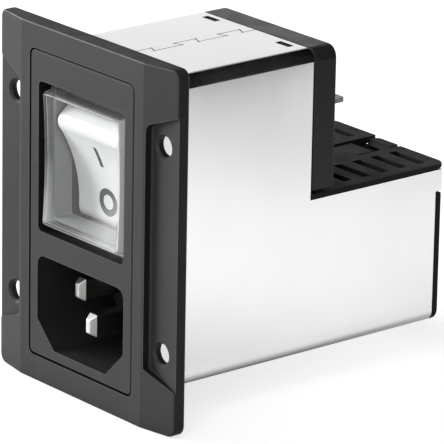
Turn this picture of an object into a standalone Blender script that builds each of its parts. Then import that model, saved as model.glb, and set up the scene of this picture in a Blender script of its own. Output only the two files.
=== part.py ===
"""Power entry module: an appliance inlet and a rocker circuit breaker under a clear
splash cover, in one moulded front with a screw flange, and a mains filter behind
them in a folded sheet-metal can.

Metres, +Z up. The origin is the centre of the flange's back face, where it seats on
the equipment panel. The front looks along -Y and the body runs back along +Y.
"""

import math

import bmesh
import bpy
from mathutils import Matrix, Vector

mm = 0.001

# Clearances
SEAT_GAP = 0.3 * mm          # between pieces that rest on each other
RUN_GAP = 0.45 * mm          # beside pieces that move

# Appliance inlet, as the standard 10 A socket has it
INLET_WIDTH = 24.0 * mm
INLET_HEIGHT = 16.5 * mm
INLET_CHAMFER = 4.8 * mm
INLET_CORNER = 1.8 * mm
INLET_DEPTH = 16.8 * mm
INLET_BASE = 2.4 * mm
SHROUD_WALL = 0.8 * mm
PIN_SPACING = 14.0 * mm
PIN_STEP = 4.0 * mm          # earth pin below the line and neutral pins
PIN_WIDTH = 2.0 * mm
PIN_HEIGHT = 4.0 * mm
PIN_POINT = 1.3 * mm         # length of the bevelled tip
PIN_SINK = 4.7 * mm          # line and neutral tips behind the front
EARTH_SINK = 1.7 * mm
PIN_TAIL = 4.5 * mm

# Switch window and faceplate
SWITCH_SIDE = 2.275 * mm     # faceplate beside the switch window
SWITCH_HEIGHT = 26.9 * mm
SWITCH_CORNER = 0.9 * mm
FACE_WEB = 4.35 * mm         # between the socket and the switch window
FACE_SIDE = 2.15 * mm        # faceplate beside the socket
FACE_BOTTOM = 1.9 * mm
FACE_TOP = 5.15 * mm
FACE_CORNER = 1.0 * mm

# Flange
FLANGE_THICK = 3.9 * mm
FLANGE_RIM = 2.3 * mm        # flat margin beside the faceplate
FLANGE_ABOVE = 4.4 * mm      # flat margin above it
FLANGE_BELOW = 4.65 * mm     # and below it
FLANGE_CORNER = 1.6 * mm
FLANGE_BACK_ROUND = 0.6 * mm
WING_WIDTH = 7.65 * mm
WING_DROP = 1.35 * mm        # how far the wings slope back
LEDGE_THICK = 1.0 * mm
LEDGE_LAP = 0.6 * mm
SCREW_EDGE = 4.1 * mm        # hole centre to the flange's outer edge
SCREW_SPAN = 36.5 * mm
SCREW_HOLE = 3.6 * mm
SCREW_CHAMFER = 0.4 * mm
SCREW_RELIEF = 3.0 * mm      # radius of the relief behind each hole
RELIEF_DEPTH = 0.9 * mm
POCKET_FLOOR = 2.3 * mm      # thickness left under the pockets
POCKET_START = 0.55 * mm     # from the crease line to the pocket's wall
POCKET_HEIGHT = 43.0 * mm
POCKET_FLARE = 3.0 * mm
POCKET_TOP_CORNER = 1.6 * mm
POCKET_LOW_CORNER = 0.5 * mm
POCKET_FILLET = 1.1 * mm
EDGE_SOFT = 0.3 * mm         # softened moulding edges

# Clear splash cover
COVER_GAP = 1.5 * mm         # from the switch window to the cover's front
COVER_WALL = 0.5 * mm
COVER_FLARE = 0.5 * mm
COVER_CORNER = 0.8 * mm
COVER_PROUD = 0.5 * mm       # how far its front stands out of the faceplate
COVER_DISH = 0.5 * mm        # the front skin is hollow along its height
SKIRT_LAP = 0.9 * mm
SKIRT_THICK = 0.6 * mm

# Rocker
ROCKER_END_GAP = 2.45 * mm   # rocker's end to the switch window's end
ROCKER_NOSE = 3.0 * mm       # rocker's end to the inner end of a crest
ROCKER_CREST = 6.35 * mm
ROCKER_VALLEY = 5.0 * mm
CREST_WIDTH = 1.6 * mm
CREST_ROUND = 2.4 * mm
NOSE_ROUND = 1.7 * mm
ROCKER_SHOULDER = 3.1 * mm
ROCKER_BACK = 1.4 * mm
ROCKER_TILT = 16.4           # degrees each way from the middle
PIVOT_DEPTH = 6.0 * mm
HUB_RADIUS = 2.4 * mm
AXLE_DIAMETER = 1.6 * mm
FOOT_REACH = 5.0 * mm
FOOT_WIDTH = 3.0 * mm
FOOT_BALL = 1.8 * mm

# Circuit breaker behind the rocker
BREAKER_WALL = 1.2 * mm
BEZEL_GAP = 0.4 * mm         # between the cover and the bezel's walls
BEZEL_WALL = 0.6 * mm
BEZEL_FLANGE = 1.2 * mm
CARRIER_HEIGHT = 6.0 * mm
CARRIER_DEPTH = 3.4 * mm
CARRIER_TAIL = 2.9 * mm      # carrier beyond its slot, where the bar sits
BAR_DEPTH = 2.8 * mm
BAR_HEIGHT = 2.0 * mm
BRIDGE_WIDTH = 3.0 * mm
BRIDGE_SPAN = 7.0 * mm       # between its two contacts
BRIDGE_END = 1.3 * mm        # bridge beyond each contact's middle
BRIDGE_THICK = 0.6 * mm
CONTACT_DIAMETER = 2.4 * mm
CONTACT_HEIGHT = 0.8 * mm
TAB_WIDTH = 4.8 * mm
TAB_THICK = 0.8 * mm
BLADE_WIDTH = 6.3 * mm       # upper terminals behind the housing, for push-on connectors
BLADE_OFFSET = 7.0 * mm
BLADE_REACH = 7.0 * mm       # beyond the rear frame
BLADE_HOLE = 1.8 * mm
BLADE_POINT = 0.35 * mm
TAB_RISE = 6.55 * mm         # upper terminals above the rocker's pivot
TAB_END = 1.6 * mm           # fixed contact's pad beyond the contact's middle
TAB_LAND = 2.2 * mm          # and behind it, up to the bend
TAB_DROP_RUN = 0.9 * mm      # lower terminal's step down to the tub's floor
TAB_STRAIGHT = 6.95 * mm     # upper terminal's level end inside the housing
TAB_OVERLAP = 2.0 * mm       # terminal beyond the housing, under the blade
TRIP_THICK = 0.5 * mm
TRIP_INNER = 0.8 * mm        # strip's inner edge from the middle
TRIP_BOW = 1.0 * mm
LOWER_TAB_REACH = 5.0 * mm   # lower terminals beyond the housing

# Folded can
BODY_MARGIN = 1.65 * mm      # can beyond the faceplate at each side
BODY_ABOVE = 0.2 * mm        # can above the faceplate's top edge
BODY_BELOW = 0.3 * mm        # and below its bottom edge
BEND_RADIUS = 2.1 * mm
SHEET = 0.5 * mm
UPPER_DEPTH = 33.95 * mm
LOWER_DEPTH = 63.1 * mm
LOWER_HEIGHT = 28.35 * mm
EAR_HEIGHT = 3.95 * mm
EAR_DEPTH = 1.4 * mm
SEAM_OFFSET = 1.6 * mm
SEAM_PITCH = 9.75 * mm
SEAM_TONGUE = 4.2 * mm
SEAM_START = 12.0 * mm
SEAM_UNDERCUT = 0.3 * mm
SEAM_GAP = 0.2 * mm
SEAM_RELIEF = 0.5 * mm       # round holes at the seam's corners
WINDOW_WIDTH = 3.6 * mm
WINDOW_DEPTH = 1.35 * mm
WINDOW_INSET = 1.0 * mm
WINDOW_OFFSET = 9.9 * mm

# Black mouldings at the back
FRAME_DEPTH = 5.2 * mm
FRAME_WALL = 1.6 * mm
FRAME_SKIRT = 3.0 * mm
LID_THICK = 1.0 * mm
LID_OVERHANG = 1.1 * mm      # lid beyond the rear plate's face
LID_CORNER = 2.2 * mm
LID_RIM = 1.6 * mm
VENT_PITCH = 4.3 * mm
VENT_WIDTH = 1.95 * mm
VENT_INNER = 5.3 * mm
VENT_OUTER = 13.5 * mm
VENT_INSET = 3.8 * mm        # last slot's middle to the lid's rear edge
VENT_FRONT = 2.5 * mm        # least distance of a slot's middle from the rear frame
LID_PAD = 0.3 * mm
CATCH_WIDTH = 6.8 * mm
CATCH_INSET = 6.3 * mm
CATCH_SLIT = 0.5 * mm
CATCH_SLIT_LENGTH = 3.7 * mm
PLATE_PLUG = 1.6 * mm        # how far the rear plate goes into the can
HOOK_WIDTH = 5.6 * mm
HOOK_ROUND = 1.0 * mm        # left rear corner of the hook and of the lid beside it
HOOK_THICK = 2.0 * mm
HOOK_PROUD = 1.1 * mm        # beyond the rear plate's face
HOOK_FALL = 5.0 * mm

# Mains filter
BOARD_THICK = 1.6 * mm
BOARD_LIFT = 2.2 * mm
CHOKE_RADIUS = 4.7 * mm
CHOKE_WIDTH = 3.0 * mm
CHOKE_HEIGHT = 6.0 * mm
CHOKE_TURNS = 6
WIRE_DIAMETER = 0.8 * mm
XCAP_LENGTH = 18.0 * mm
XCAP_WIDTH = 7.0 * mm
XCAP_HEIGHT = 11.0 * mm
XCAP_AHEAD = 2.5 * mm
YCAP_DIAMETER = 8.0 * mm
YCAP_THICK = 3.6 * mm
YCAP_BACK = 3.0 * mm
YCAP_INSET = 6.8 * mm        # disc's middle from the can's inside wall
STRAP_WIDTH = 4.0 * mm
STRAP_THICK = 0.6 * mm

# Worked out from the sizes above
face_width = INLET_WIDTH + 2 * FACE_SIDE
switch_width = face_width - 2 * SWITCH_SIDE
face_height = FACE_BOTTOM + INLET_HEIGHT + FACE_WEB + SWITCH_HEIGHT + FACE_TOP
inlet_low = -face_height / 2 + FACE_BOTTOM
inlet_high = inlet_low + INLET_HEIGHT
inlet_middle = (inlet_low + inlet_high) / 2
switch_low = inlet_high + FACE_WEB
pivot_z = switch_low + SWITCH_HEIGHT / 2
front_y = -FLANGE_THICK
cover_front = front_y - COVER_PROUD
crease_x = face_width / 2 + SEAT_GAP + FLANGE_RIM
flange_half = crease_x + WING_WIDTH
flange_low = -face_height / 2 - SEAT_GAP - FLANGE_BELOW
flange_high = face_height / 2 + SEAT_GAP + FLANGE_ABOVE
flange_middle = (flange_low + flange_high) / 2
pocket_y = -POCKET_FLOOR
body_half = face_width / 2 + BODY_MARGIN
body_low = -face_height / 2 - BODY_BELOW
body_high = face_height / 2 + BODY_ABOVE
inner_half = body_half - SHEET
inner_low = body_low + SHEET
deck_z = body_low + LOWER_HEIGHT
lid_top = deck_z + LID_THICK
frame_back = UPPER_DEPTH + FRAME_DEPTH
ledge_front = -LEDGE_THICK
plate_back = ledge_front - SEAT_GAP
inlet_floor = front_y + INLET_DEPTH
inlet_back = inlet_floor + INLET_BASE
skirt_back = plate_back + SEAT_GAP + SKIRT_THICK
bezel_front = skirt_back + SEAT_GAP
bezel_half = switch_width / 2 - COVER_GAP - COVER_WALL - BEZEL_GAP
rocker_room = bezel_half - BEZEL_WALL
rocker_half = rocker_room - RUN_GAP
rocker_reach = SWITCH_HEIGHT / 2 - ROCKER_END_GAP
rocker_crest = rocker_reach - ROCKER_NOSE
cavity_half = rocker_reach + RUN_GAP + SEAT_GAP
pole_offset = rocker_room - TAB_WIDTH / 2 - SEAT_GAP
carrier_half = pole_offset - BRIDGE_WIDTH / 2 - SEAT_GAP
trip_outer = pole_offset - TAB_WIDTH / 2 - SEAT_GAP
housing_back = UPPER_DEPTH - FRAME_SKIRT
rear_front = LOWER_DEPTH - PLATE_PLUG
rear_face = LOWER_DEPTH + EAR_DEPTH
lid_reach = rear_face + LID_OVERHANG
carrier_front = PIVOT_DEPTH + FOOT_REACH - CARRIER_DEPTH / 2
carrier_back = carrier_front + CARRIER_DEPTH + CARRIER_TAIL
xcap_front = inlet_back + PIN_TAIL + STRAP_THICK + 3 * SEAT_GAP + XCAP_AHEAD
ycap_middle = rear_front - YCAP_BACK
choke_middle = (xcap_front + XCAP_WIDTH + ycap_middle - YCAP_THICK / 2) / 2
board_low = inner_low + BOARD_LIFT
board_top = board_low + BOARD_THICK


def clear_scene():
    for old in list(bpy.data.objects):
        bpy.data.objects.remove(old, do_unlink=True)


def make_material(name, color, roughness, metallic=0.0, alpha=1.0):
    material = bpy.data.materials.new(name)
    material.use_nodes = True
    shader = material.node_tree.nodes["Principled BSDF"]
    shader.inputs["Base Color"].default_value = (*color, 1.0)
    shader.inputs["Roughness"].default_value = roughness
    shader.inputs["Metallic"].default_value = metallic
    shader.inputs["Alpha"].default_value = alpha
    return material


def place(name, mesh_source, material=None):
    """Link a bmesh as a new object, flat pieces flat and round ones smooth."""
    bmesh.ops.recalc_face_normals(mesh_source, faces=mesh_source.faces)
    mesh = bpy.data.meshes.new(name)
    mesh_source.to_mesh(mesh)
    mesh_source.free()
    obj = bpy.data.objects.new(name, mesh)
    bpy.context.scene.collection.objects.link(obj)
    if material is not None:
        mesh.materials.append(material)
        mesh.shade_smooth()
        mesh.set_sharp_from_angle(angle=math.radians(32))
    return obj


def as_tool(name, mesh_source):
    """A shape that only cuts or joins another one."""
    tool = place(name, mesh_source)
    tool.hide_render = True
    tool.display_type = "WIRE"
    return tool


def combine(target, tool, operation="DIFFERENCE"):
    step = target.modifiers.new(tool.name, "BOOLEAN")
    step.object = tool
    step.operation = operation
    step.solver = "EXACT"


def soften(obj, width, segments=2, angle=40.0):
    step = obj.modifiers.new("soft_edges", "BEVEL")
    step.width = width
    step.segments = segments
    step.limit_method = "ANGLE"
    step.angle_limit = math.radians(angle)


def rounded(corners, steps=4):
    """Outline through (a, b, radius) corners, each radius made an arc."""
    points = []
    count = len(corners)
    for index, (a, b, radius) in enumerate(corners):
        here = Vector((a, b))
        if radius <= 0:
            points.append(here)
            continue
        before = Vector(corners[index - 1][:2]) - here
        after = Vector(corners[(index + 1) % count][:2]) - here
        before.normalize()
        after.normalize()
        half = before.angle(after) / 2
        reach = radius / math.tan(half)
        centre = here + (before + after).normalized() * (radius / math.sin(half))
        start = here + before * reach - centre
        end = here + after * reach - centre
        turn = start.angle_signed(end)
        for step in range(steps + 1):
            angle = -turn * step / steps
            spun = Vector((
                start.x * math.cos(angle) - start.y * math.sin(angle),
                start.x * math.sin(angle) + start.y * math.cos(angle),
            ))
            points.append(centre + spun)
    return points


def rounded_box(half_width, low, high, radius, steps=4):
    return rounded([
        (-half_width, low, radius),
        (half_width, low, radius),
        (half_width, high, radius),
        (-half_width, high, radius),
    ], steps)


def prism(outline, start, end, axis="Y"):
    """Extrude an outline along an axis; X takes (y, z), Y takes (x, z), Z takes (x, y)."""
    spots = {
        "X": lambda a, b, along: (along, a, b),
        "Y": lambda a, b, along: (a, along, b),
        "Z": lambda a, b, along: (a, b, along),
    }[axis]
    shape = bmesh.new()
    ring = [shape.verts.new(spots(a, b, start)) for a, b in outline]
    face = shape.faces.new(ring)
    grown = bmesh.ops.extrude_face_region(shape, geom=[face])
    moved = [item for item in grown["geom"] if isinstance(item, bmesh.types.BMVert)]
    bmesh.ops.translate(shape, verts=moved, vec=Vector(spots(0, 0, end - start)))
    return shape


def block(x0, x1, y0, y1, z0, z1):
    return prism([(x0, z0), (x1, z0), (x1, z1), (x0, z1)], y0, y1)


def turned(profile, centre, axis="Y", segments=20):
    """Revolve (radius, along) points about an axis through centre."""
    shape = bmesh.new()
    rings = []
    for radius, along in profile:
        ring = []
        for step in range(segments):
            angle = 2 * math.pi * step / segments
            a = radius * math.cos(angle)
            b = radius * math.sin(angle)
            offset = {"X": (along, a, b), "Y": (a, along, b), "Z": (a, b, along)}[axis]
            ring.append(shape.verts.new(Vector(centre) + Vector(offset)))
        rings.append(ring)
    for lower, upper in zip(rings, rings[1:]):
        for step in range(segments):
            follow = (step + 1) % segments
            shape.faces.new((lower[step], lower[follow], upper[follow], upper[step]))
    shape.faces.new(rings[0])
    shape.faces.new(rings[-1])
    return shape


def strip(path, thick):
    """Flat strip outline that follows (a, b) points, half its thickness each side."""
    left = []
    right = []
    for index, point in enumerate(path):
        here = Vector(point)
        ahead = (Vector(path[min(index + 1, len(path) - 1)]) - here)
        behind = (here - Vector(path[max(index - 1, 0)]))
        if ahead.length == 0:
            ahead = behind
        if behind.length == 0:
            behind = ahead
        ahead.normalize()
        behind.normalize()
        normal = Vector((-(ahead.y + behind.y), ahead.x + behind.x)).normalized()
        flat = Vector((-ahead.y, ahead.x))
        offset = normal * (thick / 2 / normal.dot(flat))
        left.append(here + offset)
        right.append(here - offset)
    return left + right[::-1]


def inlet_outline(grow=0.0):
    """The socket's opening: round corners above, slanted corners below."""
    half = INLET_WIDTH / 2 + grow
    low = inlet_low - grow
    high = inlet_high + grow
    cut = INLET_CHAMFER + grow * (2 - math.sqrt(2))
    return rounded([
        (-half + cut, low, 0.4 * mm),
        (half - cut, low, 0.4 * mm),
        (half, low + cut, 0.4 * mm),
        (half, high, INLET_CORNER + grow),
        (-half, high, INLET_CORNER + grow),
        (-half, low + cut, 0.4 * mm),
    ])


def make_flange(material):
    wing_front = front_y + WING_DROP
    shape = prism([
        (-flange_half, wing_front),
        (-crease_x, front_y),
        (crease_x, front_y),
        (flange_half, wing_front),
        (flange_half, 0),
        (-flange_half, 0),
    ], flange_low, flange_high, "Z")
    corners = [
        edge for edge in shape.edges
        if abs((edge.verts[0].co - edge.verts[1].co).y) > 1 * mm
        and all(abs(end.co.x) > crease_x + 1 * mm for end in edge.verts)
    ]
    bmesh.ops.bevel(shape, geom=corners, offset=FLANGE_CORNER, segments=5, profile=0.5,
                    affect="EDGES", clamp_overlap=True)
    back_rim = [
        edge for edge in shape.edges
        if all(abs(end.co.y) < 0.01 * mm for end in edge.verts)
    ]
    bmesh.ops.bevel(shape, geom=back_rim, offset=FLANGE_BACK_ROUND, segments=2, profile=0.5,
                    affect="EDGES", clamp_overlap=True)
    flange = place("mounting_flange", shape, material)
    soften(flange, EDGE_SOFT)

    window_half = face_width / 2 + SEAT_GAP
    window_high = face_height / 2 + SEAT_GAP
    window = rounded_box(window_half, -window_high, window_high, FACE_CORNER + SEAT_GAP)
    combine(flange, as_tool("flange_window", prism(window, front_y - mm, ledge_front)))
    mouth = rounded_box(window_half - LEDGE_LAP, -window_high + LEDGE_LAP,
                        window_high - LEDGE_LAP, FACE_CORNER)
    combine(flange, as_tool("flange_mouth", prism(mouth, ledge_front - mm, mm)))

    for side, name in ((-1, "left"), (1, "right")):
        wall = side * (crease_x + POCKET_START)
        edge = side * (flange_half + mm)
        inner = POCKET_HEIGHT / 2
        outer = inner + POCKET_FLARE
        outline = rounded([
            (wall, flange_middle - inner, POCKET_LOW_CORNER),
            (edge, flange_middle - outer, 0),
            (edge, flange_middle + outer, 0),
            (wall, flange_middle + inner, POCKET_TOP_CORNER),
        ])
        pocket = prism(outline, front_y - mm, pocket_y)
        floor_edges = [
            rim for rim in pocket.edges
            if all(abs(v.co.y - pocket_y) < 0.01 * mm for v in rim.verts)
            and all(abs(v.co.x) < flange_half for v in rim.verts)
        ]
        bmesh.ops.bevel(pocket, geom=floor_edges, offset=POCKET_FILLET, segments=3,
                        profile=0.5, affect="EDGES", clamp_overlap=True)
        combine(flange, as_tool("pocket_" + name, pocket))
        for level in (-1, 1):
            middle = (side * (flange_half - SCREW_EDGE), 0, flange_middle + level * SCREW_SPAN / 2)
            hole = turned([
                (SCREW_HOLE / 2 + 2 * SCREW_CHAMFER, pocket_y - SCREW_CHAMFER),
                (SCREW_HOLE / 2, pocket_y + SCREW_CHAMFER),
                (SCREW_HOLE / 2, -RELIEF_DEPTH),
                (SCREW_RELIEF, -RELIEF_DEPTH),
                (SCREW_RELIEF, mm),
            ], middle, segments=24)
            combine(flange, as_tool("screw_hole_%s_%d" % (name, level), hole))
    return flange


def make_faceplate(material):
    """Front moulding: the plate, the socket's shroud and its base in one piece."""
    half_high = face_height / 2
    outline = rounded_box(face_width / 2, -half_high, half_high, FACE_CORNER)
    plate = place("inlet_faceplate", prism(outline, front_y, plate_back), material)
    soften(plate, 0.2 * mm, 1)
    shroud = prism(inlet_outline(SHROUD_WALL), plate_back - mm, inlet_back)
    combine(plate, as_tool("shroud_body", shroud), "UNION")
    combine(plate, as_tool("socket_recess", prism(inlet_outline(), front_y - mm, inlet_floor)))
    window = rounded_box(switch_width / 2, switch_low, switch_low + SWITCH_HEIGHT, SWITCH_CORNER)
    combine(plate, as_tool("switch_window", prism(window, front_y - mm, plate_back + mm)))
    for name, x, z, _ in pin_places():
        half_w = PIN_WIDTH / 2 + SEAT_GAP
        half_h = PIN_HEIGHT / 2 + SEAT_GAP
        slot = block(x - half_w, x + half_w, inlet_floor - mm, inlet_back + mm, z - half_h, z + half_h)
        combine(plate, as_tool(name + "_slot", slot))
    return plate


def pin_places():
    upper = inlet_middle + PIN_STEP / 2
    lower = inlet_middle - PIN_STEP / 2
    return (
        ("line_pin", -PIN_SPACING / 2, upper, PIN_SINK),
        ("neutral_pin", PIN_SPACING / 2, upper, PIN_SINK),
        ("earth_pin", 0.0, lower, EARTH_SINK),
    )


def make_pins(material):
    for name, x, z, sink in pin_places():
        tip = front_y + sink
        back = inlet_back + PIN_TAIL
        shape = bmesh.new()
        rings = []
        for y, scale_w, scale_h in ((tip, 0.45, 0.6), (tip + PIN_POINT, 1, 1), (back, 1, 1)):
            half_w = PIN_WIDTH / 2 * scale_w
            half_h = PIN_HEIGHT / 2 * scale_h
            rings.append([
                shape.verts.new((x + a * half_w, y, z + b * half_h))
                for a, b in ((-1, -1), (1, -1), (1, 1), (-1, 1))
            ])
        for lower, upper in zip(rings, rings[1:]):
            for corner in range(4):
                after = (corner + 1) % 4
                shape.faces.new((lower[corner], lower[after], upper[after], upper[corner]))
        shape.faces.new(rings[0])
        shape.faces.new(rings[-1])
        pin = place(name, shape, material)
        soften(pin, 0.2 * mm, 2)


def cover_ring(shape, half_width, half_height, radius, y, dish):
    """One loop of the cover, level with the window, pushed back by the dish at mid height."""
    arc_steps = 4
    side_steps = 8
    straight = half_height - radius
    side = []
    arc = []
    for step in range(side_steps + 1):
        side.append((half_width, -straight + 2 * straight * step / side_steps))
    for step in range(1, arc_steps + 1):
        angle = math.pi / 2 * step / arc_steps
        arc.append((half_width - radius + radius * math.cos(angle), straight + radius * math.sin(angle)))
    right = [(x, -z) for x, z in reversed(arc)] + side + arc
    ring = right + [(-x, z) for x, z in reversed(right)]
    made = []
    for x, z in ring:
        hollow = dish * (1 - (z / half_height) ** 2)
        made.append(shape.verts.new((x, y + hollow, pivot_z + z)))
    return made


def make_cover(material):
    """Soft clear hood: a dished front, flared walls and a skirt behind the faceplate."""
    front_half = switch_width / 2 - COVER_GAP
    front_high = SWITCH_HEIGHT / 2 - COVER_GAP
    base_half = front_half + COVER_FLARE
    base_high = front_high + COVER_FLARE
    skirt_half = switch_width / 2 + SKIRT_LAP
    skirt_high = SWITCH_HEIGHT / 2 + SKIRT_LAP
    skirt_front = plate_back + SEAT_GAP
    round_edge = 0.35 * mm
    shape = bmesh.new()
    rings = [
        cover_ring(shape, front_half - round_edge, front_high - round_edge,
                   COVER_CORNER - round_edge, cover_front, COVER_DISH),
        cover_ring(shape, front_half, front_high, COVER_CORNER, cover_front + round_edge,
                   COVER_DISH * 0.8),
        cover_ring(shape, base_half, base_high, COVER_CORNER, skirt_front, 0),
        cover_ring(shape, skirt_half, skirt_high, COVER_CORNER, skirt_front, 0),
        cover_ring(shape, skirt_half, skirt_high, COVER_CORNER, skirt_back, 0),
        cover_ring(shape, base_half - COVER_WALL, base_high - COVER_WALL,
                   COVER_CORNER - COVER_WALL, skirt_back, 0),
        cover_ring(shape, front_half - COVER_WALL, front_high - COVER_WALL,
                   COVER_CORNER - COVER_WALL, cover_front + COVER_WALL, COVER_DISH),
    ]
    count = len(rings[0])
    for lower, upper in zip(rings, rings[1:]):
        for step in range(count):
            after = (step + 1) % count
            shape.faces.new((lower[step], lower[after], upper[after], upper[step]))
    for ring in (rings[0], rings[-1]):
        for step in range(count // 2 - 1):
            shape.faces.new((ring[step], ring[step + 1], ring[count - 2 - step], ring[count - 1 - step]))
    return place("splash_cover", shape, material)


def tilted(shape):
    """Turn a piece from the rocker's middle position to its resting one."""
    pivot = Matrix.Translation((0, PIVOT_DEPTH, pivot_z))
    turn = pivot @ Matrix.Rotation(math.radians(ROCKER_TILT), 4, "X")
    bmesh.ops.transform(shape, matrix=turn, verts=shape.verts)
    return shape


def make_rocker(material):
    """Rocker in its middle position, then tilted with the upper half out."""
    dished = []
    for step in range(11):
        along = -rocker_crest + 2 * rocker_crest * step / 10
        rise = (ROCKER_CREST - ROCKER_VALLEY) * (along / rocker_crest) ** 2
        dished.append((-(ROCKER_VALLEY + rise), along, CREST_ROUND if step in (0, 10) else 0))
    flank = rocker_reach - 0.5 * mm
    hub_side = HUB_RADIUS * 0.9
    hub_foot = HUB_RADIUS + 1.2 * mm
    outline = rounded(dished + [
        (-ROCKER_CREST, rocker_crest + CREST_WIDTH, NOSE_ROUND),
        (-ROCKER_SHOULDER, rocker_reach, 0.5 * mm),
        (-ROCKER_BACK, flank, 0.3 * mm),
        (-ROCKER_BACK, hub_foot, 0.6 * mm),
        (HUB_RADIUS, hub_side, 1.8 * mm),
        (HUB_RADIUS, -hub_side, 1.8 * mm),
        (-ROCKER_BACK, -hub_foot, 0.6 * mm),
        (-ROCKER_BACK, -flank, 0.3 * mm),
        (-ROCKER_SHOULDER, -rocker_reach, 0.5 * mm),
        (-ROCKER_CREST, -rocker_crest - CREST_WIDTH, NOSE_ROUND),
    ])
    body = tilted(prism(outline, -rocker_half, rocker_half, "X"))
    rocker = place("rocker", body, material)
    soften(rocker, 0.25 * mm, 2, 50)
    leg = FOOT_BALL * 0.3
    foot = prism(rounded([
        (HUB_RADIUS / 2, -leg, 0),
        (FOOT_REACH + FOOT_BALL / 2, -FOOT_BALL / 2, FOOT_BALL / 2 - 0.01 * mm),
        (FOOT_REACH + FOOT_BALL / 2, FOOT_BALL / 2, FOOT_BALL / 2 - 0.01 * mm),
        (HUB_RADIUS / 2, leg, 0),
    ], 5), -FOOT_WIDTH / 2, FOOT_WIDTH / 2, "X")
    combine(rocker, as_tool("rocker_foot", tilted(foot)), "UNION")
    bore_radius = AXLE_DIAMETER / 2 + SEAT_GAP
    bore = turned([(bore_radius, -2 * rocker_half), (bore_radius, 2 * rocker_half)],
                  (0, PIVOT_DEPTH, pivot_z), "X", 20)
    combine(rocker, as_tool("rocker_bore", bore))
    return rocker


def make_axle(material):
    length = rocker_room + BREAKER_WALL
    radius = AXLE_DIAMETER / 2
    shape = turned([
        (radius - 0.2 * mm, -length),
        (radius, -length + 0.2 * mm),
        (radius, length - 0.2 * mm),
        (radius - 0.2 * mm, length),
    ], (0, PIVOT_DEPTH, pivot_z), "X", 16)
    return place("rocker_axle", shape, material)


def make_bezel(material):
    """Frame round the rocker: a flange behind the cover's skirt and thin walls inside it."""
    front_high = SWITCH_HEIGHT / 2 - COVER_GAP - COVER_WALL - SEAT_GAP
    room_high = front_high - BEZEL_WALL
    nose = front_y + COVER_WALL + COVER_DISH + SEAT_GAP
    flange_half_x = switch_width / 2 + SKIRT_LAP
    flange_half_z = SWITCH_HEIGHT / 2 + SKIRT_LAP
    outline = rounded_box(flange_half_x, pivot_z - flange_half_z, pivot_z + flange_half_z, mm)
    bezel = place("breaker_bezel", prism(outline, bezel_front, bezel_front + BEZEL_FLANGE), material)
    walls = rounded_box(bezel_half, pivot_z - front_high, pivot_z + front_high, mm)
    combine(bezel, as_tool("bezel_walls", prism(walls, nose, bezel_front + BEZEL_FLANGE / 2)), "UNION")
    room = rounded_box(rocker_room, pivot_z - room_high, pivot_z + room_high, 0.5 * mm)
    combine(bezel, as_tool("bezel_room", prism(room, nose - mm, bezel_front + BEZEL_FLANGE + mm)))
    return bezel


def make_housing(material):
    """Breaker tub, open to the rocker, with slots at the back for its terminals."""
    front = bezel_front + BEZEL_FLANGE + SEAT_GAP
    half = rocker_room + BREAKER_WALL
    high = cavity_half + BREAKER_WALL
    outline = rounded_box(half, pivot_z - high, pivot_z + high, 0.8 * mm)
    housing = place("breaker_housing", prism(outline, front, housing_back), material)
    hollow = block(-rocker_room, rocker_room, front - mm, housing_back - BREAKER_WALL,
                   pivot_z - cavity_half, pivot_z + cavity_half)
    combine(housing, as_tool("housing_hollow", hollow))
    seat = AXLE_DIAMETER / 2 + SEAT_GAP
    seats = turned([(seat, -half - mm), (seat, half + mm)], (0, PIVOT_DEPTH, pivot_z), "X", 20)
    combine(housing, as_tool("axle_seats", seats))
    for name, x, z in terminal_exits():
        slot = block(x - TAB_WIDTH / 2 - SEAT_GAP, x + TAB_WIDTH / 2 + SEAT_GAP,
                     housing_back - BREAKER_WALL - mm, housing_back + mm,
                     z - TAB_THICK / 2 - SEAT_GAP, z + TAB_THICK / 2 + SEAT_GAP)
        combine(housing, as_tool(name + "_exit", slot))
    return housing


def foot_lift():
    return FOOT_REACH * math.sin(math.radians(ROCKER_TILT))


def terminal_exits():
    upper = pivot_z + TAB_RISE
    lower = pivot_z - cavity_half + BREAKER_WALL + TAB_THICK / 2
    places = []
    for side, name in ((-1, "left"), (1, "right")):
        places.append(("upper_terminal_" + name, side * pole_offset, upper))
        places.append(("lower_terminal_" + name, side * pole_offset, lower))
    return places


def carrier_sizes():
    """Heights of the carrier's bar and bridges at rest, with the contacts apart."""
    middle = pivot_z + foot_lift()
    bar_low = middle - BAR_HEIGHT / 2
    bridge_high = bar_low - SEAT_GAP
    contact_low = bridge_high - BRIDGE_THICK - CONTACT_HEIGHT
    return middle, bar_low, bridge_high, contact_low


def make_carrier(material):
    """Slide that the rocker's foot lifts and lowers, with a bar over both poles."""
    middle, bar_low, _, _ = carrier_sizes()
    front = carrier_front
    back = carrier_back
    carrier = place("contact_carrier", block(
        -carrier_half, carrier_half, front, back,
        middle - CARRIER_HEIGHT / 2, middle + CARRIER_HEIGHT / 2), material)
    soften(carrier, 0.2 * mm, 1)
    bar_front = back - BAR_DEPTH
    bar = block(-rocker_room + RUN_GAP, rocker_room - RUN_GAP, bar_front, back - 0.1 * mm,
                bar_low, bar_low + BAR_HEIGHT)
    combine(carrier, as_tool("carrier_bar", bar), "UNION")
    slot_high = FOOT_BALL / 2 + SEAT_GAP
    slot = block(-FOOT_WIDTH / 2 - RUN_GAP, FOOT_WIDTH / 2 + RUN_GAP, front - mm,
                 PIVOT_DEPTH + FOOT_REACH + FOOT_BALL / 2 + RUN_GAP, middle - slot_high, middle + slot_high)
    combine(carrier, as_tool("carrier_slot", slot))
    return carrier


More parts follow.
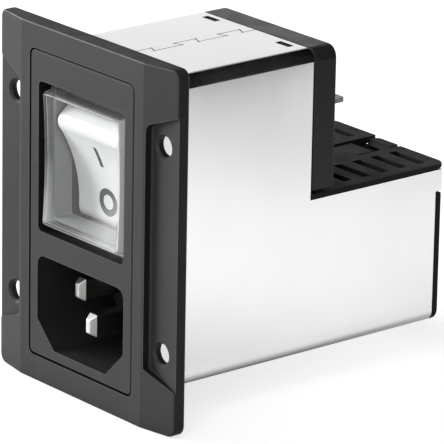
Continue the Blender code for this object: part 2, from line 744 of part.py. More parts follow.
def make_poles(copper, silver):
    """A bridge under the carrier's bar and two fixed contacts with terminals, per pole."""
    _, _, bridge_high, contact_low = carrier_sizes()
    middle_y = carrier_back - BAR_DEPTH / 2
    pad_z = contact_low - 2 * foot_lift() - SEAT_GAP - TAB_THICK / 2
    exits = {name: (x, z) for name, x, z in terminal_exits()}
    for side, name in ((-1, "left"), (1, "right")):
        x = side * pole_offset
        half = BRIDGE_SPAN / 2
        bridge = place("contact_bridge_" + name, block(
            x - BRIDGE_WIDTH / 2, x + BRIDGE_WIDTH / 2, middle_y - half - BRIDGE_END,
            middle_y + half + BRIDGE_END, bridge_high - BRIDGE_THICK, bridge_high), copper)
        for end in (-1, 1):
            rivet = turned([
                (CONTACT_DIAMETER / 2 - 0.2 * mm, contact_low),
                (CONTACT_DIAMETER / 2, contact_low + 0.2 * mm),
                (CONTACT_DIAMETER / 2, bridge_high - BRIDGE_THICK / 2),
            ], (x, middle_y + end * half, 0), "Z", 14)
            combine(bridge, as_tool("rivet_%s_%d" % (name, end), rivet), "UNION")

        _, upper_z = exits["upper_terminal_" + name]
        pad_back = middle_y + half
        upper = strip([
            (pad_back - TAB_END, pad_z),
            (pad_back + TAB_LAND, pad_z),
            (housing_back - TAB_STRAIGHT, upper_z),
            (housing_back + TAB_OVERLAP, upper_z),
        ], TAB_THICK)
        terminal = place("upper_terminal_" + name, prism(
            upper, x - TAB_WIDTH / 2, x + TAB_WIDTH / 2, "X"), silver)
        blade_x = side * BLADE_OFFSET
        tip = frame_back + BLADE_REACH
        wide = BLADE_WIDTH / 2
        blade = prism([
            (blade_x - wide, housing_back + TAB_OVERLAP / 2),
            (blade_x + wide, housing_back + TAB_OVERLAP / 2),
            (blade_x + wide, tip - BLADE_POINT),
            (blade_x + wide - BLADE_POINT, tip),
            (blade_x - wide + BLADE_POINT, tip),
            (blade_x - wide, tip - BLADE_POINT),
        ], upper_z - TAB_THICK / 2, upper_z + TAB_THICK / 2, "Z")
        combine(terminal, as_tool("blade_" + name, blade), "UNION")
        hole = turned([(BLADE_HOLE / 2, -mm), (BLADE_HOLE / 2, mm)],
                      (blade_x, tip - BLADE_WIDTH / 2, upper_z), "Z", 16)
        combine(terminal, as_tool("blade_hole_" + name, hole))
        _, lower_z = exits["lower_terminal_" + name]
        pad_front = middle_y - half
        lower = strip([
            (pad_front - TAB_END, pad_z),
            (pad_front + TAB_END, pad_z),
            (pad_front + TAB_END + TAB_DROP_RUN, lower_z),
            (housing_back + LOWER_TAB_REACH, lower_z),
        ], TAB_THICK)
        place("lower_terminal_" + name, prism(lower, x - TAB_WIDTH / 2, x + TAB_WIDTH / 2, "X"), silver)

        trip_low, trip_high = sorted((side * TRIP_INNER, side * trip_outer))
        trip_front = carrier_back + RUN_GAP
        trip_back = housing_back - BREAKER_WALL - SEAT_GAP
        trip_z = pivot_z + foot_lift()
        bent = strip([
            (trip_front, trip_z - TRIP_BOW),
            ((trip_front + trip_back) / 2, trip_z),
            (trip_back, trip_z),
        ], TRIP_THICK)
        place("trip_strip_" + name, prism(bent, trip_low, trip_high, "X"), copper)


def seam_path():
    """Interlocking seam along the can's top, from front to back: dovetails side by side."""
    flare = SEAM_UNDERCUT
    path = [(-SEAM_OFFSET, -mm)]
    start = SEAM_START
    while start < UPPER_DEPTH:
        end = start + SEAM_PITCH - SEAM_TONGUE
        path += [(-SEAM_OFFSET, start + flare), (0, start - flare)]
        path += [(0, end + flare), (-SEAM_OFFSET, end - flare)]
        start += SEAM_PITCH
    return path + [(-SEAM_OFFSET, start + mm)]


def make_can(material):
    """One sheet folded round the body, its ends locked in a seam on top."""
    outer = rounded_box(body_half, body_low, body_high, BEND_RADIUS, 8)
    inner = rounded_box(inner_half, inner_low, body_high - SHEET, BEND_RADIUS - SHEET, 5)
    can = place("shield_can", prism(outer, SEAT_GAP, LOWER_DEPTH + EAR_DEPTH), material)
    combine(can, as_tool("can_hollow", prism(inner, -mm, LOWER_DEPTH + EAR_DEPTH + mm)))
    wide = body_half + mm
    step = block(-wide, wide, UPPER_DEPTH, LOWER_DEPTH + EAR_DEPTH + 2 * mm, deck_z, body_high + mm)
    combine(can, as_tool("can_step", step))
    notch = block(-wide, wide, LOWER_DEPTH, LOWER_DEPTH + EAR_DEPTH + 2 * mm,
                  body_low - mm, deck_z - EAR_HEIGHT)
    combine(can, as_tool("can_notch", notch))
    seam = prism(strip(seam_path(), SEAM_GAP), body_high - SHEET - mm, body_high + mm, "Z")
    combine(can, as_tool("can_seam", seam))
    for index, (x, y) in enumerate(seam_path()[1:-1]):
        if y < UPPER_DEPTH - SEAM_RELIEF:
            relief = turned([(SEAM_RELIEF / 2, -SHEET - mm), (SEAM_RELIEF / 2, mm)],
                            (x, y, body_high), "Z", 8)
            combine(can, as_tool("seam_relief_%d" % index, relief))
    back = UPPER_DEPTH - WINDOW_INSET
    for side, name in ((-1, "left"), (1, "right")):
        x = side * WINDOW_OFFSET
        window = block(x - WINDOW_WIDTH / 2, x + WINDOW_WIDTH / 2, back - WINDOW_DEPTH, back,
                       body_high - SHEET - mm, body_high + mm)
        combine(can, as_tool("can_window_" + name, window))
    return can


def make_frame(material):
    """Black rear frame of the tall block: a hooded rim, a wall with terminal slots, a skirt."""
    low = lid_top + LID_PAD + SEAT_GAP
    front = UPPER_DEPTH + SEAT_GAP
    outline = rounded([
        (-body_half, low, 0.3 * mm),
        (body_half, low, 0.3 * mm),
        (body_half, body_high, BEND_RADIUS),
        (-body_half, body_high, BEND_RADIUS),
    ], 5)
    frame = place("rear_frame", prism(outline, front, frame_back), material)
    soften(frame, 0.25 * mm, 2)
    fit = SHEET + SEAT_GAP
    skirt = rounded([
        (-body_half + fit, low + 0.4 * mm, 0),
        (body_half - fit, low + 0.4 * mm, 0),
        (body_half - fit, body_high - fit, BEND_RADIUS - fit),
        (-body_half + fit, body_high - fit, BEND_RADIUS - fit),
    ], 5)
    combine(frame, as_tool("frame_skirt", prism(skirt, front - FRAME_SKIRT, front + mm)), "UNION")
    wall = fit + 1.2 * mm
    hollow = rounded_box(body_half - wall, low + wall, body_high - wall, 0.8 * mm)
    combine(frame, as_tool("frame_hollow", prism(hollow, front - FRAME_SKIRT - mm, frame_back - FRAME_WALL)))
    back = UPPER_DEPTH - WINDOW_INSET
    for side, name in ((-1, "left"), (1, "right")):
        x = side * WINDOW_OFFSET
        half = WINDOW_WIDTH / 2 - SEAT_GAP
        bump = prism([
            (back - WINDOW_DEPTH + SEAT_GAP, body_high - fit - 0.4 * mm),
            (back - WINDOW_DEPTH + SEAT_GAP, body_high - fit + 0.1 * mm),
            (back - SEAT_GAP, body_high - 0.2 * mm),
            (back - SEAT_GAP, body_high - fit - 0.4 * mm),
        ], x - half, x + half, "X")
        combine(frame, as_tool("frame_catch_" + name, bump), "UNION")
    blade_z = pivot_z + TAB_RISE
    half_slot = BLADE_WIDTH / 2 + SEAT_GAP
    for side, name in ((-1, "left"), (1, "right")):
        x = side * BLADE_OFFSET
        slot = block(x - half_slot, x + half_slot, frame_back - FRAME_WALL - mm, frame_back + mm,
                     blade_z - TAB_THICK / 2 - SEAT_GAP, blade_z + TAB_THICK / 2 + SEAT_GAP)
        combine(frame, as_tool("blade_slot_" + name, slot))
    return frame


def make_lid(material):
    """Vented lid of the low block, with a snap tongue and a raised left half."""
    front = UPPER_DEPTH + SEAT_GAP
    low = deck_z + SEAT_GAP / 3
    outline = rounded([
        (-body_half, front, 0.3 * mm),
        (body_half, front, 0.3 * mm),
        (body_half, lid_reach, LID_CORNER),
        (-body_half, lid_reach, LID_CORNER),
    ])
    lid = place("vent_lid", prism(outline, low, lid_top, "Z"), material)
    soften(lid, 0.2 * mm, 2)
    vent_room = lid_reach - VENT_INSET - frame_back - VENT_FRONT
    vent_count = int(vent_room / VENT_PITCH) + 1
    catch = CATCH_WIDTH / 2
    pad = rounded([
        (-body_half + 0.8 * mm, front, 0),
        (-catch, front, 0),
        (-catch, lid_reach - 0.01 * mm, 0),
        (-body_half + 0.8 * mm, lid_reach - 0.01 * mm, LID_CORNER - 0.8 * mm),
    ])
    combine(lid, as_tool("lid_pad", prism(pad, lid_top - 0.3 * mm, lid_top + LID_PAD, "Z")), "UNION")
    fit = SHEET + SEAT_GAP
    rim_back = rear_front - SEAT_GAP
    rim = block(-body_half + fit, body_half - fit, frame_back, rim_back, low - LID_RIM, low + 0.3 * mm)
    combine(lid, as_tool("lid_rim", rim), "UNION")
    rim_hollow = block(-body_half + fit + mm, body_half - fit - mm, frame_back + mm, rim_back - mm,
                       low - LID_RIM - mm, low + 0.01 * mm)
    combine(lid, as_tool("lid_rim_hollow", rim_hollow))
    for side, name in ((-1, "left"), (1, "right")):
        for index in range(vent_count):
            middle = lid_reach - VENT_INSET - index * VENT_PITCH
            ends = sorted((side * VENT_INNER, side * VENT_OUTER))
            vent = prism(rounded([
                (ends[0], middle - VENT_WIDTH / 2, 0.3 * mm),
                (ends[1], middle - VENT_WIDTH / 2, 0.3 * mm),
                (ends[1], middle + VENT_WIDTH / 2, 0.3 * mm),
                (ends[0], middle + VENT_WIDTH / 2, 0.3 * mm),
            ], 2), deck_z - mm, lid_top + mm, "Z")
            combine(lid, as_tool("vent_%s_%d" % (name, index), vent))
    catch_front = lid_reach - CATCH_INSET
    opening = block(-catch, catch, catch_front, lid_reach + mm, deck_z - mm, lid_top + mm)
    combine(lid, as_tool("catch_opening", opening))
    shaved = [(catch - mm, lid_reach + mm), (catch + HOOK_ROUND, lid_reach + mm)]
    for step in range(7):
        angle = math.pi / 2 * (1 + step / 6)
        shaved.append((catch + HOOK_ROUND * (1 + math.cos(angle)),
                       lid_reach + HOOK_ROUND * (math.sin(angle) - 1)))
    shaved.append((catch - mm, lid_reach - HOOK_ROUND))
    combine(lid, as_tool("catch_corner", prism(shaved, deck_z - mm, lid_top + mm, "Z")))
    for side, name in ((-1, "left"), (1, "right")):
        edge = side * catch
        ends = sorted((edge, edge - side * CATCH_SLIT))
        slit = block(ends[0], ends[1], catch_front - CATCH_SLIT_LENGTH, catch_front + 0.5 * mm,
                     deck_z - mm, lid_top + mm)
        combine(lid, as_tool("catch_slit_" + name, slit))
    return lid


def make_rear_plate(material):
    """Back wall of the low block: a cap flush with the can, a plug inside it and the
    hook that the lid's tongue snaps behind."""
    high = deck_z - SEAT_GAP
    plug_half = inner_half - SEAT_GAP
    plug_corner = BEND_RADIUS - SHEET - SEAT_GAP
    plug = rounded([
        (-plug_half, inner_low + SEAT_GAP, plug_corner),
        (plug_half, inner_low + SEAT_GAP, plug_corner),
        (plug_half, high, 0.3 * mm),
        (-plug_half, high, 0.3 * mm),
    ])
    ear_low = deck_z - EAR_HEIGHT - SEAT_GAP
    cap = rounded([
        (-body_half, body_low, BEND_RADIUS),
        (body_half, body_low, BEND_RADIUS),
        (body_half, ear_low, 0),
        (plug_half, ear_low, 0),
        (plug_half, high, 0.3 * mm),
        (-plug_half, high, 0.3 * mm),
        (-plug_half, ear_low, 0),
        (-body_half, ear_low, 0),
    ])
    plate = place("rear_plate", prism(cap, LOWER_DEPTH + SEAT_GAP, rear_face), material)
    soften(plate, 0.25 * mm, 2)
    combine(plate, as_tool("plate_plug", prism(plug, rear_front, rear_face - mm)), "UNION")
    proud = rear_face + HOOK_PROUD
    hook = prism(rounded([
        (-HOOK_WIDTH / 2, proud - HOOK_THICK, 0),
        (HOOK_WIDTH / 2, proud - HOOK_THICK, 0),
        (HOOK_WIDTH / 2, proud, EDGE_SOFT),
        (-HOOK_WIDTH / 2, proud, HOOK_ROUND),
    ]), lid_top - HOOK_FALL, lid_top, "Z")
    combine(plate, as_tool("plate_hook", hook), "UNION")
    inner = proud - HOOK_THICK
    barb = prism([
        (inner + 0.2 * mm, lid_top - 0.1 * mm),
        (inner - 0.7 * mm, lid_top - 0.8 * mm),
        (inner + 0.2 * mm, lid_top - 0.8 * mm),
    ], -HOOK_WIDTH / 2 + 0.2 * mm, HOOK_WIDTH / 2 - 0.2 * mm, "X")
    combine(plate, as_tool("plate_barb", barb), "UNION")
    shelf = block(-plug_half + 2 * mm, plug_half - 2 * mm, rear_front - 1.5 * mm, rear_front + 0.5 * mm,
                  board_low - 1.5 * mm, board_low - SEAT_GAP)
    combine(plate, as_tool("plate_shelf", shelf), "UNION")
    return plate


def make_board(material):
    half = inner_half - SEAT_GAP
    front = inlet_back + PIN_TAIL + STRAP_THICK + 3 * SEAT_GAP
    back = rear_front - SEAT_GAP
    return place("circuit_board", block(-half, half, front, back, board_low, board_top), material)


def winding_section():
    """Corners of the winding's path round the core's section, corners cut across."""
    half_wide = CHOKE_WIDTH / 2
    half_high = CHOKE_HEIGHT / 2
    off = SEAT_GAP + WIRE_DIAMETER / 2
    right = [(half_wide + off, -half_high), (half_wide + off, half_high)]
    top = [(half_wide, half_high + off), (-half_wide, half_high + off)]
    left = [(-a, -b) for a, b in right]
    bottom = [(-a, -b) for a, b in top]
    return right + top + left + bottom


def make_choke(ferrite, copper):
    """Ring core lying flat on the board, with a winding on each half."""
    core_low = board_top + SEAT_GAP + WIRE_DIAMETER + SEAT_GAP
    middle = Vector((0, choke_middle, core_low + CHOKE_HEIGHT / 2))
    soft = 0.6 * mm
    section = rounded_box(CHOKE_WIDTH / 2, -CHOKE_HEIGHT / 2, CHOKE_HEIGHT / 2, soft, 2)
    shape = bmesh.new()
    segments = 32
    rings = []
    for step in range(segments):
        angle = 2 * math.pi * step / segments
        ring = []
        for a, b in section:
            reach = CHOKE_RADIUS + a
            spot = Vector((reach * math.cos(angle), reach * math.sin(angle), b))
            ring.append(shape.verts.new(middle + spot))
        rings.append(ring)
    for step in range(segments):
        here = rings[step]
        there = rings[(step + 1) % segments]
        for corner in range(len(section)):
            after = (corner + 1) % len(section)
            shape.faces.new((here[corner], here[after], there[after], there[corner]))
    place("choke_core", shape, ferrite)

    loop = winding_section()
    total = CHOKE_TURNS * len(loop)
    spread = math.radians(118)
    for side, name in ((-1, "left"), (1, "right")):
        curve = bpy.data.curves.new("choke_winding_" + name, "CURVE")
        curve.dimensions = "3D"
        curve.bevel_depth = WIRE_DIAMETER / 2
        curve.bevel_resolution = 1
        curve.use_fill_caps = True
        line = curve.splines.new("POLY")
        line.points.add(total)
        base = 0.0 if side > 0 else math.pi
        for index in range(total + 1):
            around = base + spread * (index / total - 0.5)
            a, b = loop[index % len(loop)]
            reach = CHOKE_RADIUS + a
            spot = middle + Vector((reach * math.cos(around), reach * math.sin(around), b))
            line.points[index].co = (*spot, 1)
        obj = bpy.data.objects.new("choke_winding_" + name, curve)
        curve.materials.append(copper)
        bpy.context.scene.collection.objects.link(obj)


def make_capacitors(box_plastic, disc_blue):
    low = board_top + SEAT_GAP
    box = place("x_capacitor", block(-XCAP_LENGTH / 2, XCAP_LENGTH / 2, xcap_front,
                                     xcap_front + XCAP_WIDTH, low, low + XCAP_HEIGHT), box_plastic)
    soften(box, 0.6 * mm, 3)
    for side, name in ((-1, "left"), (1, "right")):
        middle = (side * (inner_half - YCAP_INSET), ycap_middle, low + YCAP_DIAMETER / 2)
        disc = turned([
            (YCAP_DIAMETER / 2 - 1.2 * mm, -YCAP_THICK / 2),
            (YCAP_DIAMETER / 2 - 0.3 * mm, -YCAP_THICK / 4),
            (YCAP_DIAMETER / 2, 0),
            (YCAP_DIAMETER / 2 - 0.3 * mm, YCAP_THICK / 4),
            (YCAP_DIAMETER / 2 - 1.2 * mm, YCAP_THICK / 2),
        ], middle, "Y", 20)
        place("y_capacitor_" + name, disc, disc_blue)


def make_earth_strap(material):
    """Strip from the earth pin's tail down to the floor of the can."""
    _, _, pin_z, _ = pin_places()[2]
    start = inlet_back + PIN_TAIL + SEAT_GAP
    floor = inner_low + SEAT_GAP + STRAP_THICK / 2
    path = [
        (start + STRAP_THICK / 2, pin_z + PIN_HEIGHT / 2),
        (start + STRAP_THICK / 2, floor),
        (start - PIN_TAIL, floor),
    ]
    shape = prism(strip(path, STRAP_THICK), -STRAP_WIDTH / 2, STRAP_WIDTH / 2, "X")
    return place("earth_strap", shape, material)


def build():
    clear_scene()
    grey = make_material("dark_grey_plastic", (0.105, 0.105, 0.11), 0.55)
    black = make_material("black_plastic", (0.03, 0.03, 0.032), 0.5)
    white = make_material("white_plastic", (0.86, 0.86, 0.85), 0.35)
    clear = make_material("clear_silicone", (0.85, 0.87, 0.88), 0.15, 0.0, 0.3)
    nickel = make_material("nickel_plate", (0.75, 0.74, 0.72), 0.3, 1.0)
    steel = make_material("bright_steel", (0.82, 0.82, 0.82), 0.32, 1.0)
    copper = make_material("copper", (0.72, 0.38, 0.24), 0.35, 1.0)
    board = make_material("board_green", (0.06, 0.2, 0.1), 0.6)
    ferrite = make_material("ferrite_grey", (0.12, 0.12, 0.13), 0.7)
    yellow = make_material("film_case", (0.75, 0.6, 0.16), 0.5)
    blue = make_material("disc_blue", (0.08, 0.2, 0.5), 0.5)

    make_flange(grey)
    make_faceplate(grey)
    make_pins(nickel)
    make_cover(clear)
    make_rocker(white)
    make_axle(nickel)
    make_bezel(grey)
    make_housing(black)
    make_carrier(white)
    make_poles(copper, nickel)
    make_can(steel)
    make_frame(black)
    make_lid(black)
    make_rear_plate(black)
    make_board(board)
    make_choke(ferrite, copper)
    make_capacitors(yellow, blue)
    make_earth_strap(copper)


build()
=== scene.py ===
import math
import bmesh
import bpy
from mathutils import Matrix, Vector


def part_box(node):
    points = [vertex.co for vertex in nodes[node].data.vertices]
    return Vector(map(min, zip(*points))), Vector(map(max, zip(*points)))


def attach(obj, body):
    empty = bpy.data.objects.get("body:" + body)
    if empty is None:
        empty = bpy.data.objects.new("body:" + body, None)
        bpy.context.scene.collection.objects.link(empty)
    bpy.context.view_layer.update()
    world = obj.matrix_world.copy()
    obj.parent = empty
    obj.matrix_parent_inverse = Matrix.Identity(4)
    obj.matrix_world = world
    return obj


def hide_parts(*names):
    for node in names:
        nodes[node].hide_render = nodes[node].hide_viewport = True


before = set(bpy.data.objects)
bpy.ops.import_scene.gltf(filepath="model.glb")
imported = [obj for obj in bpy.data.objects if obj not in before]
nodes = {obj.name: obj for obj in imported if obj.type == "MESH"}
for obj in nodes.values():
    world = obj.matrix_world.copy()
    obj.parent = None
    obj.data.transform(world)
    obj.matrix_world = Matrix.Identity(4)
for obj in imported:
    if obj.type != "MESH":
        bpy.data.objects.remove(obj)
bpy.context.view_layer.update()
mm = 0.001
print("frame loaded:", len(nodes), "nodes")


# small helpers for objects and meshes

def addObject(name, data):
    obj = bpy.data.objects.new(name, data)
    bpy.context.scene.collection.objects.link(obj)
    return obj


def toMesh(name, shape):
    mesh = bpy.data.meshes.new(name)
    shape.to_mesh(mesh)
    shape.free()
    return mesh


def smoothFaces(mesh):
    for face in mesh.polygons:
        face.use_smooth = True


# small helpers for node trees, in materials and geometry alike

def link(tree, value, socket):
    if isinstance(value, bpy.types.NodeSocket):
        tree.links.new(value, socket)
    else:
        socket.default_value = value


def maths(tree, operation, *values):
    node = tree.nodes.new("ShaderNodeMath")
    node.operation = operation
    for value, socket in zip(values, node.inputs):
        link(tree, value, socket)
    return node.outputs[0]


def productOf(tree, first, *others):
    for other in others:
        first = maths(tree, "MULTIPLY", first, other)
    return first


def sumOf(tree, first, *others):
    for other in others:
        first = maths(tree, "ADD", first, other)
    return first


def splitOf(tree, vector):
    parts = tree.nodes.new("ShaderNodeSeparateXYZ")
    tree.links.new(vector, parts.inputs[0])
    return parts.outputs


def distanceOf(tree, place, spot):
    apart = tree.nodes.new("ShaderNodeVectorMath")
    apart.operation = "DISTANCE"
    apart.inputs[1].default_value = spot
    tree.links.new(place, apart.inputs[0])
    return apart.outputs["Value"]


# small helpers for the finishes

def greyOf(level):
    return (level, level, level, 1)


def blankMaterial(name):
    mat = bpy.data.materials.new(name)
    mat.use_nodes = True
    mat.node_tree.nodes.clear()
    return mat, mat.node_tree


def placeOf(tree):
    return tree.nodes.new("ShaderNodeTexCoord").outputs["Object"]


def newFinish(name, colour, roughness, metal=0.0, gloss=0.5):
    mat = bpy.data.materials.new(name)
    mat.use_nodes = True
    tree = mat.node_tree
    shader = tree.nodes["Principled BSDF"]
    shader.inputs["Base Color"].default_value = (*colour, 1)
    shader.inputs["Roughness"].default_value = roughness
    shader.inputs["Metallic"].default_value = metal
    shader.inputs["Specular IOR Level"].default_value = gloss
    return mat, tree, shader, placeOf(tree)


def normalOf(tree):
    return splitOf(tree, tree.nodes.new("ShaderNodeNewGeometry").outputs["Normal"])


def noiseOf(tree, place, scale, detail, stretch=(1, 1, 1)):
    mapping = tree.nodes.new("ShaderNodeMapping")
    mapping.inputs["Scale"].default_value = stretch
    noise = tree.nodes.new("ShaderNodeTexNoise")
    noise.inputs["Scale"].default_value = scale
    noise.inputs["Detail"].default_value = detail
    tree.links.new(place, mapping.inputs["Vector"])
    tree.links.new(mapping.outputs[0], noise.inputs["Vector"])
    return noise.outputs["Fac"]


def rampOf(tree, value, *stops):
    ramp = tree.nodes.new("ShaderNodeValToRGB")
    points = ramp.color_ramp.elements
    while len(points) < len(stops):
        points.new(0.5)
    for point, (spot, colour) in zip(points, stops):
        point.position = spot
        point.color = (*colour, 1) if isinstance(colour, tuple) else greyOf(colour)
    tree.links.new(value, ramp.inputs[0])
    return ramp.outputs[0]


def fadeOf(tree, value, low, high, start=0.3, end=0.7):
    # from low to high over the middle of a noise or of a normal's part
    return rampOf(tree, value, (start, low), (end, high))


def rangeOf(tree, value, start, end, low=0.0, high=1.0):
    span = tree.nodes.new("ShaderNodeMapRange")
    tree.links.new(value, span.inputs["Value"])
    span.inputs["From Min"].default_value = start
    span.inputs["From Max"].default_value = end
    span.inputs["To Min"].default_value = low
    span.inputs["To Max"].default_value = high
    return span.outputs[0]


def mixOf(tree, share, first, second, blend="MIX"):
    mix = tree.nodes.new("ShaderNodeMix")
    mix.data_type = "RGBA"
    mix.blend_type = blend
    for socket, value in ((mix.inputs[0], share), (mix.inputs[6], first), (mix.inputs[7], second)):
        link(tree, (*value, 1) if isinstance(value, tuple) else value, socket)
    return mix.outputs[2]


def bumpOf(tree, height, depth, strength, under=None):
    bump = tree.nodes.new("ShaderNodeBump")
    bump.inputs["Distance"].default_value = depth
    bump.inputs["Strength"].default_value = strength
    tree.links.new(height, bump.inputs["Height"])
    if under is not None:
        tree.links.new(under, bump.inputs["Normal"])
    return bump.outputs[0]


def edgesOf(tree, width, gain, start=0.995):
    # 1 on sharp edges, 0 on the flats
    rounded = tree.nodes.new("ShaderNodeBevel")
    rounded.samples = 4
    rounded.inputs["Radius"].default_value = width
    flat = tree.nodes.new("ShaderNodeNewGeometry")
    dot = tree.nodes.new("ShaderNodeVectorMath")
    dot.operation = "DOT_PRODUCT"
    tree.links.new(rounded.outputs[0], dot.inputs[0])
    tree.links.new(flat.outputs["Normal"], dot.inputs[1])
    return rampOf(tree, dot.outputs["Value"], (1 - gain, 1.0), (start, 0.0))


def creviceShadeOf(tree, reach, depth):
    # painted shade in crevices: 1 in the open, less in gaps narrower than the reach
    creviceShade = tree.nodes.new("ShaderNodeAmbientOcclusion")
    creviceShade.samples = 6
    creviceShade.inputs["Distance"].default_value = reach
    return fadeOf(tree, creviceShade.outputs["AO"], 1 - depth, 1.0, 0.25, 0.75)


def ringsOf(tree, place, centres, radius, width):
    # shallow round marks about points, as ejector pins leave
    found = None
    for centre in centres:
        off = maths(tree, "SUBTRACT", distanceOf(tree, place, centre), radius)
        off = maths(tree, "ABSOLUTE", off)
        found = off if found is None else maths(tree, "MINIMUM", found, off)
    return fadeOf(tree, productOf(tree, found, 1 / width), 0.0, 1.0, 0.0, 1.0)


# camera, from the vanishing directions and measured points of the photograph

camera = {
    "azimuth": 50.33,
    "elevation": 18.26,
    "roll": 1.06,
    "distance": 0.7885,
    "target": (0.00307, 0.02480, -0.00484),
    "lens": 368.3,
    "sensor": 36,
    "nearest": 0.01,
}


def makeCamera():
    az = math.radians(camera["azimuth"])
    el = math.radians(camera["elevation"])
    roll = math.radians(camera["roll"])
    back = Vector((math.sin(az) * math.cos(el), -math.cos(az) * math.cos(el), math.sin(el)))
    level = Vector((math.cos(az), math.sin(az), 0))
    right = level * math.cos(roll) + back.cross(level) * math.sin(roll)
    up = back.cross(right)
    spot = Vector(camera["target"]) + back * camera["distance"]
    data = bpy.data.cameras.new("camera")
    data.lens = camera["lens"]
    data.sensor_width = camera["sensor"]
    data.clip_start = camera["nearest"]
    obj = addObject("camera", data)
    obj.matrix_world = Matrix((
        (right.x, up.x, back.x, spot.x),
        (right.y, up.y, back.y, spot.y),
        (right.z, up.z, back.z, spot.z),
        (0, 0, 0, 1),
    ))
    bpy.context.scene.camera = obj


# studio: a white paper sweep with a painted pool of light, three soft lamps, and a black card and a
# strip of painted shadow for the metal to mirror

studio = {
    "floorZ": -0.0325,
    "floorSize": 3.0,
    "sweepDistance": 1.3,
    "sweepRadius": 0.5,
    "sweepSteps": 12,
    "sweepHeight": 0.9,
    "roomGrey": 0.20,
    "paperGrey": 0.5,       # as it returns the lamps' light
    "paperShade": 0.62,     # as the camera and reflections see it, with the glow
    "paperGlow": 0.70,
    # the pool's spot and glows: a painted pool of light in the paper's glow, seen only in reflections
    "poolAt": (0.085, 0.068, -0.0325),
    "poolGlows": (
        (0.015, 0.72), (0.08, 0.43), (0.16, 0.34), (0.24, 0.02), (0.42, 0.02), (0.8, 0.70),
    ),
    "lampAim": (0, 0.02, 0),
    "lamps": {
        "keyLamp": {"spot": (-0.80, -0.46, 0.26), "size": (0.5, 0.5), "power": 12.2},
        "fillLamp": {"spot": (0.55, -0.75, 0.30), "size": (0.6, 0.6), "power": 3.3},
        "topLamp": {"spot": (-0.10, -0.15, 0.90), "size": (0.7, 0.5), "power": 1.8},
    },
}


def showsWhite(tree, grey, white):
    # grey to the light that it scatters, white to the camera and in reflections
    path = tree.nodes.new("ShaderNodeLightPath").outputs
    shine = maths(tree, "MAXIMUM", path["Is Glossy Ray"], path["Is Transmission Ray"])
    seen = maths(tree, "MAXIMUM", shine, path["Is Camera Ray"])
    pick = tree.nodes.new("ShaderNodeMixShader")
    for value, socket in zip((seen, grey, white), pick.inputs):
        tree.links.new(value, socket)
    return pick.outputs[0]


def paperShader(tree, grey):
    shader = tree.nodes.new("ShaderNodeBsdfDiffuse")
    shader.inputs["Color"].default_value = greyOf(grey)
    return shader.outputs[0]


def whitePaper():
    mat, tree = blankMaterial("whitePaper")
    # a painted pool of light on the paper beside the module, ringed by painted shade further out,
    # which only reflections show, for the side of the can to mirror
    pool = rampOf(tree, distanceOf(tree, placeOf(tree), studio["poolAt"]), *studio["poolGlows"])
    pool.node.color_ramp.interpolation = "EASE"
    path = tree.nodes.new("ShaderNodeLightPath")
    level = tree.nodes.new("ShaderNodeMix")
    level.inputs[2].default_value = studio["paperGlow"]
    tree.links.new(path.outputs["Is Glossy Ray"], level.inputs[0])
    tree.links.new(pool, level.inputs[3])
    glow = tree.nodes.new("ShaderNodeEmission")
    tree.links.new(level.outputs[0], glow.inputs["Strength"])
    both = tree.nodes.new("ShaderNodeAddShader")
    tree.links.new(paperShader(tree, studio["paperShade"]), both.inputs[0])
    tree.links.new(glow.outputs[0], both.inputs[1])
    out = tree.nodes.new("ShaderNodeOutputMaterial")
    plain = paperShader(tree, studio["paperGrey"])
    tree.links.new(showsWhite(tree, plain, both.outputs[0]), out.inputs["Surface"])
    return mat


def makeFloor():
    az = math.radians(camera["azimuth"])
    away = Vector((-math.sin(az), math.cos(az), 0))
    side = Vector((away.y, -away.x, 0))
    half = studio["floorSize"] / 2
    start = studio["sweepDistance"]
    radius = studio["sweepRadius"]
    steps = studio["sweepSteps"]
    profile = [(-half, 0.0)]
    for step in range(steps + 1):
        angle = math.pi / 2 * step / steps
        profile.append((start + radius * math.sin(angle), radius * (1 - math.cos(angle))))
    profile.append((start + radius, studio["sweepHeight"]))
    shape = bmesh.new()
    rows = []
    for along, rise in profile:
        foot = away * along + Vector((0, 0, studio["floorZ"] + rise))
        rows.append([shape.verts.new(foot + side * (end * half)) for end in (-1, 1)])
    for low, high in zip(rows, rows[1:]):
        shape.faces.new((low[0], low[1], high[1], high[0]))
    mesh = toMesh("paperSweep", shape)
    mesh.materials.append(whitePaper())
    smoothFaces(mesh)
    addObject("paperSweep", mesh)


# a black card arched over the rear, and a strip under the foot of the can whose glow is a painted
# soft shadow

cards = {
    "arch": {"radius": 0.175, "near": 0.066, "far": 0.222, "from": -10.5, "to": 138, "steps": 24},
    "strip": {"near": -0.004, "far": 0.078, "from": -0.016, "to": 0.032, "rise": 0.0005},
    "velvet": (0.004, 0.004, 0.004),
    "velvetRoughness": 0.9,
    # the glow of the painted shadow across the strip and along it
    "shadeAcross": (
        (0.003, 0.06), (0.008, 0.11), (0.014, 0.19), (0.0188, 0.45), (0.0227, 0.68), (0.032, 0.83),
    ),
    "shadeAlong": ((0.010, 0.0), (0.070, 0.42)),
    "shadeSpan": 10.0,      # the shade's distances times this fit a ramp
}


def shadeOf(tree, value, stops):
    span = cards["shadeSpan"]
    return rampOf(tree, productOf(tree, value, span), *[(at * span, grey) for at, grey in stops])


def footShade():
    # a painted shadow, deepest under the can's middle and near the front
    mat, tree = blankMaterial("footShade")
    spot = splitOf(tree, placeOf(tree))
    across = shadeOf(tree, spot["X"], cards["shadeAcross"])
    along = shadeOf(tree, spot["Y"], cards["shadeAlong"])
    glow = tree.nodes.new("ShaderNodeEmission")
    tree.links.new(maths(tree, "MAXIMUM", across, along), glow.inputs["Strength"])
    out = tree.nodes.new("ShaderNodeOutputMaterial")
    tree.links.new(glow.outputs[0], out.inputs["Surface"])
    return mat


